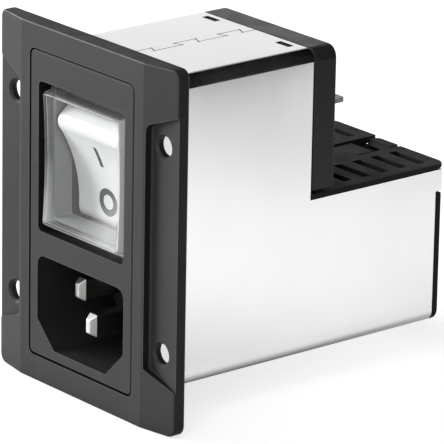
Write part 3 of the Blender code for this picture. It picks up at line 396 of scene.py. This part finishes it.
def makeBlackCardAndShadowStrip():
    arch, strip = cards["arch"], cards["strip"]
    shape = bmesh.new()
    rows = []
    for step in range(arch["steps"] + 1):
        angle = math.radians(arch["from"] + (arch["to"] - arch["from"]) * step / arch["steps"])
        x = arch["radius"] * math.cos(angle)
        z = arch["radius"] * math.sin(angle)
        rows.append([shape.verts.new((x, y, z)) for y in (arch["near"], arch["far"])])
    for low, high in zip(rows, rows[1:]):
        shape.faces.new((low[0], high[0], high[1], low[1]))
    height = studio["floorZ"] + strip["rise"]
    corners = ((strip["from"], strip["near"]), (strip["to"], strip["near"]),
               (strip["to"], strip["far"]), (strip["from"], strip["far"]))
    shape.faces.new([shape.verts.new((x, y, height)) for x, y in corners])
    mesh = toMesh("blackCardAndShadowStrip", shape)
    velvet = newFinish("blackCard", cards["velvet"], cards["velvetRoughness"], gloss=0.0)
    mesh.materials.append(velvet[0])
    mesh.materials.append(footShade())
    mesh.polygons[-1].material_index = 1
    obj = addObject("blackCardAndShadowStrip", mesh)
    obj.visible_camera = False
    obj.visible_shadow = False
    obj.visible_diffuse = False


def addLamp(name, lamp):
    data = bpy.data.lights.new(name, "AREA")
    data.shape = "RECTANGLE"
    data.size, data.size_y = lamp["size"]
    data.energy = lamp["power"]
    obj = addObject(name, data)
    obj.location = lamp["spot"]
    aim = Vector(studio["lampAim"]) - Vector(lamp["spot"])
    obj.rotation_euler = aim.to_track_quat("-Z", "Y").to_euler()


def backdrop(tree, grey):
    shader = tree.nodes.new("ShaderNodeBackground")
    shader.inputs["Color"].default_value = greyOf(grey)
    return shader.outputs[0]


def makeLights():
    for name, lamp in studio["lamps"].items():
        addLamp(name, lamp)
    world = bpy.data.worlds.new("studioAir")
    bpy.context.scene.world = world
    world.use_nodes = True
    tree = world.node_tree
    tree.nodes.clear()
    out = tree.nodes.new("ShaderNodeOutputWorld")
    air = showsWhite(tree, backdrop(tree, studio["roomGrey"]), backdrop(tree, 1.0))
    tree.links.new(air, out.inputs["Surface"])
    bpy.context.scene.view_settings.view_transform = "Standard"


makeCamera()
makeFloor()
makeBlackCardAndShadowStrip()
makeLights()
print("camera and studio ready")


# moulded plastics: each one's own values, then what they share

# each plastic gives the reach and the depth of its painted shade in crevices
plastics = {
    # the worn colour is the paler colour of dust and worn edges, and of the painted highlight along
    # the edges
    "flange": {
        "colour": (0.041, 0.041, 0.042), "worn": (0.17, 0.17, 0.172),
        "roughness": 0.52, "gloss": 0.20, "creviceShade": (8 * mm, 0.8),
        "grain": 5200, "grainDepth": 0.020 * mm, "wallShade": 0.3,
    },
    "faceplate": {
        "colour": (0.041, 0.041, 0.042), "worn": (0.17, 0.17, 0.172),
        "roughness": 0.52, "gloss": 0.20, "creviceShade": (8 * mm, 0.8),
        "grain": 5200, "grainDepth": 0.020 * mm, "wallShade": 0.3,
        "recessLight": (0.3 * mm, 1.2 * mm, (0.060, 0.060, 0.061)),
    },
    "bezel": {
        "colour": (0.25, 0.25, 0.255), "worn": (0.25, 0.25, 0.255),
        "roughness": 0.70, "gloss": 0.2, "creviceShade": (1.4 * mm, 0.75),
        "grain": 4200, "grainDepth": 0.015 * mm,
    },
    "black": {
        "colour": (0.016, 0.016, 0.0165), "worn": (0.05, 0.05, 0.051),
        "roughness": 0.36, "gloss": 0.28, "creviceShade": (0.6 * mm, 0.5),
        "grain": 4600, "grainDepth": 0.018 * mm,
    },
    "lid": {
        "colour": (0.013, 0.013, 0.0135), "worn": (0.05, 0.05, 0.051),
        "roughness": 0.62, "gloss": 0.12, "creviceShade": (1.8 * mm, 0.95),
        "grain": 3800, "grainDepth": 0.030 * mm,
    },
    "phenolic": {
        "colour": (0.016, 0.014, 0.013), "worn": (0.05, 0.045, 0.04),
        "roughness": 0.5, "gloss": 0.4, "creviceShade": (0.6 * mm, 0.5),
        "grain": 2600, "grainDepth": 0.02 * mm,
    },
    "white": {
        "colour": (0.95, 0.95, 0.945), "worn": (0.96, 0.96, 0.955),
        "roughness": 0.34, "gloss": 0.4, "creviceShade": (0.5 * mm, 0.2),
        "grain": 3600, "grainDepth": 0.004 * mm,
    },
}
moulding = {
    "toneScale": 70,
    "tones": (0.90, 1.08),
    "dustScale": 2400,
    "dustFrom": 0.73,
    "dustTo": 0.80,
    "dustShare": 0.35,
    "edgeWidth": 0.3 * mm,
    "edgeGain": 0.25,
    "edgeWearAndHighlight": 0.7,
    "edgePolish": 0.8,
    "wallFrom": 0.35,
    "wallTo": 0.85,
    "sheenScale": 260,
    "sheens": (0.86, 1.12),
    "grainStrength": 0.7,
    "flowScale": 45,
    "flowDepth": 0.05 * mm,
    "flowStrength": 0.3,
    "ejectorRadius": 1.5 * mm,
    "ejectorWidth": 0.12 * mm,
    "ejectorDepth": 0.05 * mm,
    "ejectorStrength": 0.6,
}
ejectorMarks = {
    "flange": [(x * mm, 0, z * mm) for x in (-20.3, 20.3) for z in (-27.5, 0, 27.5)],
    "black": [(x * mm, 64.5 * mm, z * mm) for x in (-11, 11) for z in (-22, -8)],
}


def plasticColour(tree, place, kind, edges):
    tone = fadeOf(tree, noiseOf(tree, place, moulding["toneScale"], 3), *moulding["tones"])
    body = mixOf(tree, 1.0, kind["colour"], tone, "MULTIPLY")
    specks = noiseOf(tree, place, moulding["dustScale"], 1)
    dust = fadeOf(tree, specks, 0.0, moulding["dustShare"], moulding["dustFrom"], moulding["dustTo"])
    body = mixOf(tree, dust, body, kind["worn"])
    # worn edges take the paler colour, which is partly wear and partly a painted highlight
    body = mixOf(tree, productOf(tree, edges, moulding["edgeWearAndHighlight"]), body, kind["worn"])
    if "recessLight" in kind:
        # painted light in the openings: past the face the colour turns with depth to a paler grey,
        # against the painted wall shade
        start, end, dark = kind["recessLight"]
        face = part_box("inlet_faceplate")[0][1]
        inside = rangeOf(tree, splitOf(tree, place)["Y"], face + start, face + end)
        body = mixOf(tree, inside, body, dark)
    if "wallShade" in kind:
        # painted shade: the rim and the walls, which face up, down or sideways, are darker than the
        # faces to the front and back
        facing = maths(tree, "ABSOLUTE", normalOf(tree)["Y"])
        shade = fadeOf(tree, facing, kind["wallShade"], 1.0, moulding["wallFrom"], moulding["wallTo"])
        body = mixOf(tree, 1.0, body, shade, "MULTIPLY")
    # painted shade in the crevices
    return mixOf(tree, 1.0, body, creviceShadeOf(tree, *kind["creviceShade"]), "MULTIPLY")


def mouldedPlastic(name):
    kind = plastics[name]
    mat, tree, shader, place = newFinish(
        name + "Plastic", kind["colour"], kind["roughness"], gloss=kind["gloss"])
    edges = edgesOf(tree, moulding["edgeWidth"], moulding["edgeGain"])
    tree.links.new(plasticColour(tree, place, kind, edges), shader.inputs["Base Color"])
    low, high = (kind["roughness"] * share for share in moulding["sheens"])
    sheen = fadeOf(tree, noiseOf(tree, place, moulding["sheenScale"], 4), low, high)
    polished = (low * moulding["edgePolish"],) * 3
    tree.links.new(mixOf(tree, edges, sheen, polished), shader.inputs["Roughness"])
    grain = noiseOf(tree, place, kind["grain"], 2)
    relief = bumpOf(tree, grain, kind["grainDepth"], moulding["grainStrength"])
    flow = noiseOf(tree, place, moulding["flowScale"], 1)
    relief = bumpOf(tree, flow, moulding["flowDepth"], moulding["flowStrength"], relief)
    if name in ejectorMarks:
        radius, width = moulding["ejectorRadius"], moulding["ejectorWidth"]
        rings = ringsOf(tree, place, ejectorMarks[name], radius, width)
        relief = bumpOf(tree, rings, moulding["ejectorDepth"], moulding["ejectorStrength"], relief)
    tree.links.new(relief, shader.inputs["Normal"])
    return mat


# the soft clear cover: a thin skin that lets light straight through

clearSkin = {
    "colour": (0.88, 0.89, 0.89),
    "tint": (0.98, 0.985, 0.985),
    "roughness": 0.08,
    "gloss": 1.0,
    "facing": 0.025,
    "slant": 5.0,
    "haze": 0.008,
    "wallHaze": 0.26,
    "paintedTopShade": 0.2,
    "paintedRightLight": 3.4,
    "towardsLowerRight": (-20 * mm, 12 * mm, 0.15, 2.4),
    "corner": (1 * mm, 10 * mm, 0.0, 0.26),
    "patchScale": 180,
    "patches": (0.7, 1.3),
    "edgeHighlight": 1.3,
    "edgeWidth": 0.2 * mm,
    "edgeGain": 0.16,
    "edgeStart": 0.96,
    "shadow": 0.05,
    "rippleScale": 120,
    "rippleDepth": 0.12 * mm,
    "rippleStrength": 0.35,
}


def skinOpacity(tree, place):
    weight = tree.nodes.new("ShaderNodeLayerWeight")
    weight.inputs["Blend"].default_value = 0.5
    slant = maths(tree, "POWER", weight.outputs["Facing"], clearSkin["slant"])
    across = normalOf(tree)
    # painted shade on the walls that face up, and painted light on the walls that face right
    facingUp = fadeOf(tree, across["Z"], 1.0, clearSkin["paintedTopShade"])
    facingRight = fadeOf(tree, across["X"], 1.0, clearSkin["paintedRightLight"])
    shine = sumOf(tree, productOf(tree, slant, facingUp), clearSkin["facing"])
    level = maths(tree, "ABSOLUTE", across["Y"])
    walls = fadeOf(tree, level, clearSkin["wallHaze"], clearSkin["haze"])
    # the skin is clear at its upper left and whiter towards its lower right
    spot = splitOf(tree, place)
    lower = maths(tree, "SUBTRACT", spot["X"], spot["Z"])
    towardsLowerRight = rangeOf(tree, lower, *clearSkin["towardsLowerRight"])
    corner = rangeOf(tree, lower, *clearSkin["corner"])
    patches = fadeOf(tree, noiseOf(tree, place, clearSkin["patchScale"], 3), *clearSkin["patches"])
    haze = productOf(tree, walls, facingUp, facingRight, patches, towardsLowerRight)
    haze = sumOf(tree, haze, productOf(tree, corner, patches))
    edges = edgesOf(tree, clearSkin["edgeWidth"], clearSkin["edgeGain"], clearSkin["edgeStart"])
    # a painted highlight along the skin's edges
    solid = sumOf(tree, shine, haze, productOf(tree, edges, clearSkin["edgeHighlight"]))
    # it casts hardly any shadow
    shadowRay = tree.nodes.new("ShaderNodeLightPath").outputs["Is Shadow Ray"]
    thin = sumOf(tree, productOf(tree, shadowRay, clearSkin["shadow"] - 1), 1.0)
    return maths(tree, "MINIMUM", productOf(tree, solid, thin), 1.0)


def clearPlastic():
    mat, tree, shader, place = newFinish(
        "clearCover", clearSkin["colour"], clearSkin["roughness"], gloss=clearSkin["gloss"])
    through = tree.nodes.new("ShaderNodeBsdfTransparent")
    through.inputs["Color"].default_value = (*clearSkin["tint"], 1)
    mix = tree.nodes.new("ShaderNodeMixShader")
    tree.links.new(skinOpacity(tree, place), mix.inputs[0])
    tree.links.new(through.outputs[0], mix.inputs[1])
    tree.links.new(shader.outputs[0], mix.inputs[2])
    tree.links.new(mix.outputs[0], tree.nodes["Material Output"].inputs["Surface"])
    ripple = noiseOf(tree, place, clearSkin["rippleScale"], 2)
    relief = bumpOf(tree, ripple, clearSkin["rippleDepth"], clearSkin["rippleStrength"])
    tree.links.new(relief, shader.inputs["Normal"])
    return mat


# metals: each one's own values, then what they share

# each metal gives the reach of its painted shade in crevices
metals = {
    "sheet": {
        "colour": (0.95, 0.95, 0.95), "dull": (0.80, 0.80, 0.80),
        "low": 0.10, "high": 0.19, "creviceShade": 0.6 * mm,
        "streaks": (2200, 40, 40), "streakDepth": 0.004 * mm,
    },
    "tin": {
        "colour": (0.74, 0.73, 0.71), "dull": (0.52, 0.51, 0.49),
        "low": 0.22, "high": 0.38, "creviceShade": 5.0 * mm,
        "streaks": (900, 300, 900), "streakDepth": 0.006 * mm,
    },
    "pin": {
        "colour": (0.80, 0.79, 0.77), "dull": (0.62, 0.61, 0.59),
        "low": 0.10, "high": 0.17, "tip": 0.48, "creviceShade": 5.0 * mm,
        "streaks": (900, 300, 900), "streakDepth": 0.006 * mm,
    },
    "blade": {
        "colour": (0.30, 0.295, 0.285), "dull": (0.16, 0.155, 0.15),
        "low": 0.28, "high": 0.42, "creviceShade": 0.6 * mm,
        "streaks": (900, 300, 900), "streakDepth": 0.006 * mm,
    },
    "copper": {
        "colour": (0.72, 0.36, 0.22), "dull": (0.42, 0.2, 0.12),
        "low": 0.25, "high": 0.45, "creviceShade": 1.0 * mm,
        "streaks": (900, 300, 900), "streakDepth": 0.006 * mm,
    },
    "enamel": {
        "colour": (0.50, 0.17, 0.07), "dull": (0.36, 0.11, 0.05),
        "low": 0.15, "high": 0.25, "creviceShade": 0.6 * mm,
        "streaks": (300, 300, 300), "streakDepth": 0.004 * mm,
    },
}
rolling = {
    "cloudScale": 30,
    "cloudShare": 0.35,
    "cloudFrom": 0.35,
    "cloudTo": 0.65,
    "edgeWidth": 0.25 * mm,
    "edgeGain": 0.4,
    "edgeShare": 0.35,
    "creviceShadeDepth": 0.88,
    "smearScale": 14,
    "smearStretch": (1, 4, 1),
    "streakStrength": 0.5,
    "tipFrom": 0.05,
    "tipTo": 0.3,
}


def rolledMetal(name):
    kind = metals[name]
    mat, tree, shader, place = newFinish(name + "Metal", kind["colour"], kind["low"], 1.0)
    clouds = noiseOf(tree, place, rolling["cloudScale"], 2)
    cloud = fadeOf(tree, clouds, 0.0, rolling["cloudShare"], rolling["cloudFrom"], rolling["cloudTo"])
    body = mixOf(tree, cloud, kind["colour"], kind["dull"])
    edges = edgesOf(tree, rolling["edgeWidth"], rolling["edgeGain"])
    body = mixOf(tree, productOf(tree, edges, rolling["edgeShare"]), body, kind["dull"])
    # painted shade in the crevices
    shadedCrevices = creviceShadeOf(tree, kind["creviceShade"], rolling["creviceShadeDepth"])
    tree.links.new(mixOf(tree, 1.0, body, shadedCrevices, "MULTIPLY"), shader.inputs["Base Color"])
    smear = noiseOf(tree, place, rolling["smearScale"], 4, rolling["smearStretch"])
    rough = fadeOf(tree, smear, kind["low"], kind["high"])
    if "tip" in kind:
        # the pins' pressed tips are frosted and their shanks smooth
        facing = maths(tree, "ABSOLUTE", normalOf(tree)["Y"])
        tip = rangeOf(tree, facing, rolling["tipFrom"], rolling["tipTo"])
        rough = mixOf(tree, tip, rough, (kind["tip"],) * 3)
    tree.links.new(rough, shader.inputs["Roughness"])
    streaks = noiseOf(tree, place, 1.0, 2, kind["streaks"])
    relief = bumpOf(tree, streaks, kind["streakDepth"], rolling["streakStrength"])
    tree.links.new(relief, shader.inputs["Normal"])
    return mat


# printed and electrical finishes

# the ring's ink is paler than the bar's, a painted veil for the glare of the cover over the ring
inks = {"blackInk": 0.012, "paleInk": 0.035}
inkWear = {"roughness": 0.45, "scale": 2600, "from": 0.55, "to": 0.75, "gain": 2, "lift": 0.06}
board = {
    "mask": (0.012, 0.075, 0.030), "track": (0.030, 0.14, 0.055), "roughness": 0.32,
    "pitch": 260, "relief": 0.03 * mm, "strength": 0.5,
}
ferrite = {
    "colour": (0.05, 0.052, 0.05), "roughness": 0.6, "scale": 1500,
    "dark": (0.035, 0.036, 0.035), "pale": (0.09, 0.09, 0.085), "from": 0.4,
    "relief": 0.04 * mm, "strength": 0.6,
}
lacquers = {
    "filmCase": {"colour": (0.30, 0.31, 0.33), "roughness": 0.45},
    "discBlue": {"colour": (0.03, 0.10, 0.30), "roughness": 0.35},
}
lacquering = {
    "shade": 0.7, "cloudScale": 300, "waveScale": 700, "relief": 0.03 * mm, "strength": 0.5,
}


def printedInk(name):
    grey = inks[name]
    mat, tree, shader, place = newFinish(name, (grey, grey, grey), inkWear["roughness"])
    wear = noiseOf(tree, place, inkWear["scale"], 3)
    worn = grey * inkWear["gain"] + inkWear["lift"]
    colour = fadeOf(tree, wear, grey, worn, inkWear["from"], inkWear["to"])
    tree.links.new(colour, shader.inputs["Base Color"])
    return mat


def circuitBoard():
    mat, tree, shader, place = newFinish("boardGreen", board["mask"], board["roughness"])
    brick = tree.nodes.new("ShaderNodeTexBrick")
    brick.inputs["Scale"].default_value = board["pitch"]
    brick.inputs["Color1"].default_value = (*board["track"], 1)
    brick.inputs["Color2"].default_value = (*board["mask"], 1)
    brick.inputs["Mortar"].default_value = (*board["mask"], 1)
    tree.links.new(place, brick.inputs["Vector"])
    tree.links.new(brick.outputs["Color"], shader.inputs["Base Color"])
    relief = bumpOf(tree, brick.outputs["Fac"], board["relief"], board["strength"])
    tree.links.new(relief, shader.inputs["Normal"])
    return mat


def ferriteCore():
    mat, tree, shader, place = newFinish("ferriteCore", ferrite["colour"], ferrite["roughness"])
    speckle = noiseOf(tree, place, ferrite["scale"], 4)
    colour = fadeOf(tree, speckle, ferrite["dark"], ferrite["pale"], ferrite["from"])
    tree.links.new(colour, shader.inputs["Base Color"])
    grit = noiseOf(tree, place, ferrite["scale"], 3)
    relief = bumpOf(tree, grit, ferrite["relief"], ferrite["strength"])
    tree.links.new(relief, shader.inputs["Normal"])
    return mat


def lacquer(name):
    colour = lacquers[name]["colour"]
    mat, tree, shader, place = newFinish(name, colour, lacquers[name]["roughness"])
    shade = tuple(channel * lacquering["shade"] for channel in colour)
    cloud = fadeOf(tree, noiseOf(tree, place, lacquering["cloudScale"], 4), 0.0, 1.0)
    tree.links.new(mixOf(tree, cloud, colour, shade), shader.inputs["Base Color"])
    wave = noiseOf(tree, place, lacquering["waveScale"], 2)
    relief = bumpOf(tree, wave, lacquering["relief"], lacquering["strength"])
    tree.links.new(relief, shader.inputs["Normal"])
    return mat


finishes = {}
for plastic in plastics:
    finishes[plastic] = mouldedPlastic(plastic)
finishes["clear"] = clearPlastic()
for metal in metals:
    finishes[metal] = rolledMetal(metal)
finishes["ink"] = printedInk("blackInk")
finishes["paleInk"] = printedInk("paleInk")
finishes["board"] = circuitBoard()
finishes["ferrite"] = ferriteCore()
finishes["film"] = lacquer("filmCase")
finishes["disc"] = lacquer("discBlue")

nodeFinish = {
    "mounting_flange": "flange",
    "inlet_faceplate": "faceplate",
    "splash_cover": "clear",
    "rocker": "white",
    "rocker_axle": "tin",
    "breaker_bezel": "bezel",
    "breaker_housing": "phenolic",
    "contact_carrier": "white",
    "contact_bridge_left": "copper",
    "contact_bridge_right": "copper",
    "upper_terminal_left": "blade",
    "upper_terminal_right": "blade",
    "lower_terminal_left": "tin",
    "lower_terminal_right": "tin",
    "trip_strip_left": "copper",
    "trip_strip_right": "copper",
    "line_pin": "pin",
    "neutral_pin": "pin",
    "earth_pin": "pin",
    "shield_can": "sheet",
    "rear_frame": "black",
    "vent_lid": "lid",
    "rear_plate": "lid",
    "circuit_board": "board",
    "choke_core": "ferrite",
    "x_capacitor": "film",
    "y_capacitor_left": "disc",
    "y_capacitor_right": "disc",
    "earth_strap": "copper",
}
for node, finish in nodeFinish.items():
    for slot in nodes[node].material_slots:
        slot.material = finishes[finish]
print("finishes on", len(nodeFinish), "nodes")


# printed marks on the rocker, a bar above a ring

marks = {
    "tilt": 16.4,           # the rocker's tilt and the curve of its face, as the solid has them
    "valley": 5.0 * mm,
    "rise": 1.35 * mm,
    "crest": 8.0 * mm,
    "lift": 0.02 * mm,
    "depth": 0.06 * mm,
    "barFrom": 1.6 * mm,
    "barTo": 5.7 * mm,
    "barWidth": 0.88 * mm,
    "barSteps": 10,
    "ringAt": -5.1 * mm,
    "ringRadius": 1.9 * mm,
    "ringStroke": 1.15 * mm,
    "ringSteps": 48,
}


def onRocker(x, along, lift):
    # a point on the rocker's hollow face, lifted off it, as it rests
    low, high = (Vector(corner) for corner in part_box("rocker_axle"))
    tilt = math.radians(marks["tilt"])
    y = -(marks["valley"] + marks["rise"] * (along / marks["crest"]) ** 2 + lift)
    return (low + high) / 2 + Vector((
        x,
        y * math.cos(tilt) - along * math.sin(tilt),
        y * math.sin(tilt) + along * math.cos(tilt),
    ))


def printedStrip(shape, centreLine, width, closed):
    # a low ribbon of ink that follows the face
    top, foot = marks["lift"], -marks["depth"]
    rows = []
    count = len(centreLine)
    for index in range(count):
        before = Vector(centreLine[(index - 1) % count if closed else max(index - 1, 0)])
        after = Vector(centreLine[(index + 1) % count if closed else min(index + 1, count - 1)])
        run = (after - before).normalized()
        out = Vector((run.y, -run.x)) * width / 2
        here = Vector(centreLine[index])
        row = []
        for side, lift in ((-1, foot), (-1, top), (1, top), (1, foot)):
            spot = here + out * side
            row.append(shape.verts.new(onRocker(spot.x, spot.y, lift)))
        rows.append(row)
    pairs = list(zip(rows, rows[1:] + rows[:1] if closed else rows[1:]))
    for low, high in pairs:
        for corner in range(4):
            after = (corner + 1) % 4
            shape.faces.new((low[corner], low[after], high[after], high[corner]))
    if not closed:
        shape.faces.new(rows[0])
        shape.faces.new(rows[-1])


def makeRockerMark(name, centreLine, width, closed, finish):
    shape = bmesh.new()
    printedStrip(shape, centreLine, width, closed)
    bmesh.ops.recalc_face_normals(shape, faces=shape.faces)
    mesh = toMesh(name, shape)
    mesh.materials.append(finish)
    obj = addObject(name, mesh)
    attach(obj, "rocker")


def makeRockerMarks():
    start, end, steps = marks["barFrom"], marks["barTo"], marks["barSteps"]
    bar = [(0.0, start + (end - start) * step / steps) for step in range(steps + 1)]
    makeRockerMark("rockerBar", bar, marks["barWidth"], False, finishes["ink"])
    ring = []
    for step in range(marks["ringSteps"]):
        angle = math.tau * step / marks["ringSteps"]
        ring.append((marks["ringRadius"] * math.cos(angle),
                     marks["ringAt"] + marks["ringRadius"] * math.sin(angle)))
    makeRockerMark("rockerRing", ring, marks["ringStroke"], True, finishes["paleInk"])


makeRockerMarks()
print("rocker marked with a bar and a ring")


# geometry nodes: helpers for the choke's windings and the ticks below the ring

def newTree(name, sizes):
    tree = bpy.data.node_groups.new(name, "GeometryNodeTree")
    tree.interface.new_socket("Geometry", in_out="INPUT", socket_type="NodeSocketGeometry")
    for label, kind in sizes:
        tree.interface.new_socket(label, in_out="INPUT", socket_type="NodeSocket" + kind)
    tree.interface.new_socket("Geometry", in_out="OUTPUT", socket_type="NodeSocketGeometry")
    return tree, tree.nodes.new("NodeGroupInput").outputs, tree.nodes.new("NodeGroupOutput").inputs


def endTree(tree, shape, material, result):
    real = tree.nodes.new("GeometryNodeRealizeInstances")
    finish = tree.nodes.new("GeometryNodeSetMaterial")
    link(tree, shape, real.inputs[0])
    link(tree, real.outputs[0], finish.inputs["Geometry"])
    link(tree, material, finish.inputs["Material"])
    link(tree, finish.outputs[0], result[0])


def runTree(name, tree, values, body):
    # run the tree on an empty mesh and keep only the plain result
    holder = addObject(name + "Start", bpy.data.meshes.new("empty"))
    modifier = holder.modifiers.new(name, "NODES")
    modifier.node_group = tree
    for item in tree.interface.items_tree:
        if item.in_out == "INPUT" and item.name in values:
            modifier[item.identifier] = values[item.name]
    graph = bpy.context.evaluated_depsgraph_get()
    mesh = bpy.data.meshes.new_from_object(holder.evaluated_get(graph))
    mesh.name = name
    bpy.data.objects.remove(holder)
    mesh.materials.clear()
    mesh.materials.append(values["Finish"])
    obj = addObject(name, mesh)
    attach(obj, body)
    return obj


# the choke's two windings, a wire wound round the ring core

coil = {
    "turns": 7,
    "spread": 124.0,
    "wire": 0.42 * mm,
    "wireSides": 8,
    "clearance": 0.08 * mm,
    "coreHalfWidth": 1.5 * mm,
    "stepsPerTurn": 28,
    "squareness": 0.42,
}


def windingTree():
    tree, given, result = newTree("chokeWinding", (
        ("Centre", "Vector"), ("Ring Radius", "Float"), ("Half Width", "Float"),
        ("Half Height", "Float"), ("Turns", "Float"), ("Points", "Int"), ("Spread", "Float"),
        ("Facing", "Float"), ("Squareness", "Float"), ("Wire Radius", "Float"),
        ("Finish", "Material"),
    ))
    line = tree.nodes.new("GeometryNodeCurvePrimitiveLine")
    sampled = tree.nodes.new("GeometryNodeResampleCurve")
    link(tree, line.outputs[0], sampled.inputs["Curve"])
    link(tree, given["Points"], sampled.inputs["Count"])
    factor = tree.nodes.new("GeometryNodeSplineParameter").outputs["Factor"]
    turn = productOf(tree, given["Turns"], math.tau, factor)
    middle = maths(tree, "SUBTRACT", factor, 0.5)
    around = maths(tree, "MULTIPLY_ADD", middle, given["Spread"], given["Facing"])
    sides = []
    for wave, reach in (("COSINE", given["Half Width"]), ("SINE", given["Half Height"])):
        swing = maths(tree, wave, turn)
        size = maths(tree, "POWER", maths(tree, "ABSOLUTE", swing), given["Squareness"])
        sides.append(productOf(tree, maths(tree, "SIGN", swing), size, reach))
    outward = maths(tree, "ADD", sides[0], given["Ring Radius"])
    spot = tree.nodes.new("ShaderNodeCombineXYZ")
    link(tree, productOf(tree, outward, maths(tree, "COSINE", around)), spot.inputs[0])
    link(tree, productOf(tree, outward, maths(tree, "SINE", around)), spot.inputs[1])
    link(tree, sides[1], spot.inputs[2])
    moved = tree.nodes.new("ShaderNodeVectorMath")
    link(tree, spot.outputs[0], moved.inputs[0])
    link(tree, given["Centre"], moved.inputs[1])
    placed = tree.nodes.new("GeometryNodeSetPosition")
    link(tree, sampled.outputs[0], placed.inputs["Geometry"])
    link(tree, moved.outputs[0], placed.inputs["Position"])
    section = tree.nodes.new("GeometryNodeCurvePrimitiveCircle")
    section.inputs["Resolution"].default_value = coil["wireSides"]
    link(tree, given["Wire Radius"], section.inputs["Radius"])
    wire = tree.nodes.new("GeometryNodeCurveToMesh")
    link(tree, placed.outputs[0], wire.inputs["Curve"])
    link(tree, section.outputs[0], wire.inputs["Profile Curve"])
    wire.inputs["Fill Caps"].default_value = True
    endTree(tree, wire.outputs[0], given["Finish"], result)
    return tree


def makeWindings():
    tree = windingTree()
    low, high = (Vector(corner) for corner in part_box("choke_core"))
    outer = (high.y - low.y) / 2
    section = coil["coreHalfWidth"]
    off = coil["wire"] + coil["clearance"]
    for name, facing in (("left", math.pi), ("right", 0.0)):
        obj = runTree("windings_" + name, tree, {
            "Centre": (low + high) / 2,
            "Ring Radius": outer - section,
            "Half Width": section + off,
            "Half Height": (high.z - low.z) / 2 + off,
            "Turns": float(coil["turns"]),
            "Points": coil["turns"] * coil["stepsPerTurn"] + 1,
            "Spread": math.radians(coil["spread"]),
            "Facing": facing,
            "Squareness": coil["squareness"],
            "Wire Radius": coil["wire"],
            "Finish": finishes["enamel"],
        }, "housing")
        smoothFaces(obj.data)
        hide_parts("choke_winding_" + name)


makeWindings()
print("choke wound")


# a row of short ticks printed along the rocker's lower lip

ticks = {
    "count": 13,
    "pitch": 1.05 * mm,
    "along": -9.35 * mm,
    "size": (0.32 * mm, 0.10 * mm, 0.6 * mm),
}


def tickTree():
    tree, given, result = newTree("tickRow", (
        ("Count", "Int"), ("Start", "Vector"), ("Step", "Vector"), ("Turn", "Vector"),
        ("Size", "Vector"), ("Finish", "Material"),
    ))
    row = tree.nodes.new("GeometryNodeMeshLine")
    link(tree, given["Count"], row.inputs["Count"])
    link(tree, given["Start"], row.inputs["Start Location"])
    link(tree, given["Step"], row.inputs["Offset"])
    tick = tree.nodes.new("GeometryNodeMeshCube")
    link(tree, given["Size"], tick.inputs["Size"])
    spread = tree.nodes.new("GeometryNodeInstanceOnPoints")
    link(tree, row.outputs[0], spread.inputs["Points"])
    link(tree, tick.outputs[0], spread.inputs["Instance"])
    link(tree, given["Turn"], spread.inputs["Rotation"])
    endTree(tree, spread.outputs[0], given["Finish"], result)
    return tree


def makeTicks():
    width = (ticks["count"] - 1) * ticks["pitch"]
    runTree("rockerTicks", tickTree(), {
        "Count": ticks["count"],
        "Start": onRocker(-width / 2, ticks["along"], 0.0),
        "Step": (ticks["pitch"], 0.0, 0.0),
        "Turn": (math.radians(marks["tilt"]), 0.0, 0.0),
        "Size": ticks["size"],
        "Finish": finishes["ink"],
    }, "rocker")


makeTicks()
print("rocker's ticks printed")
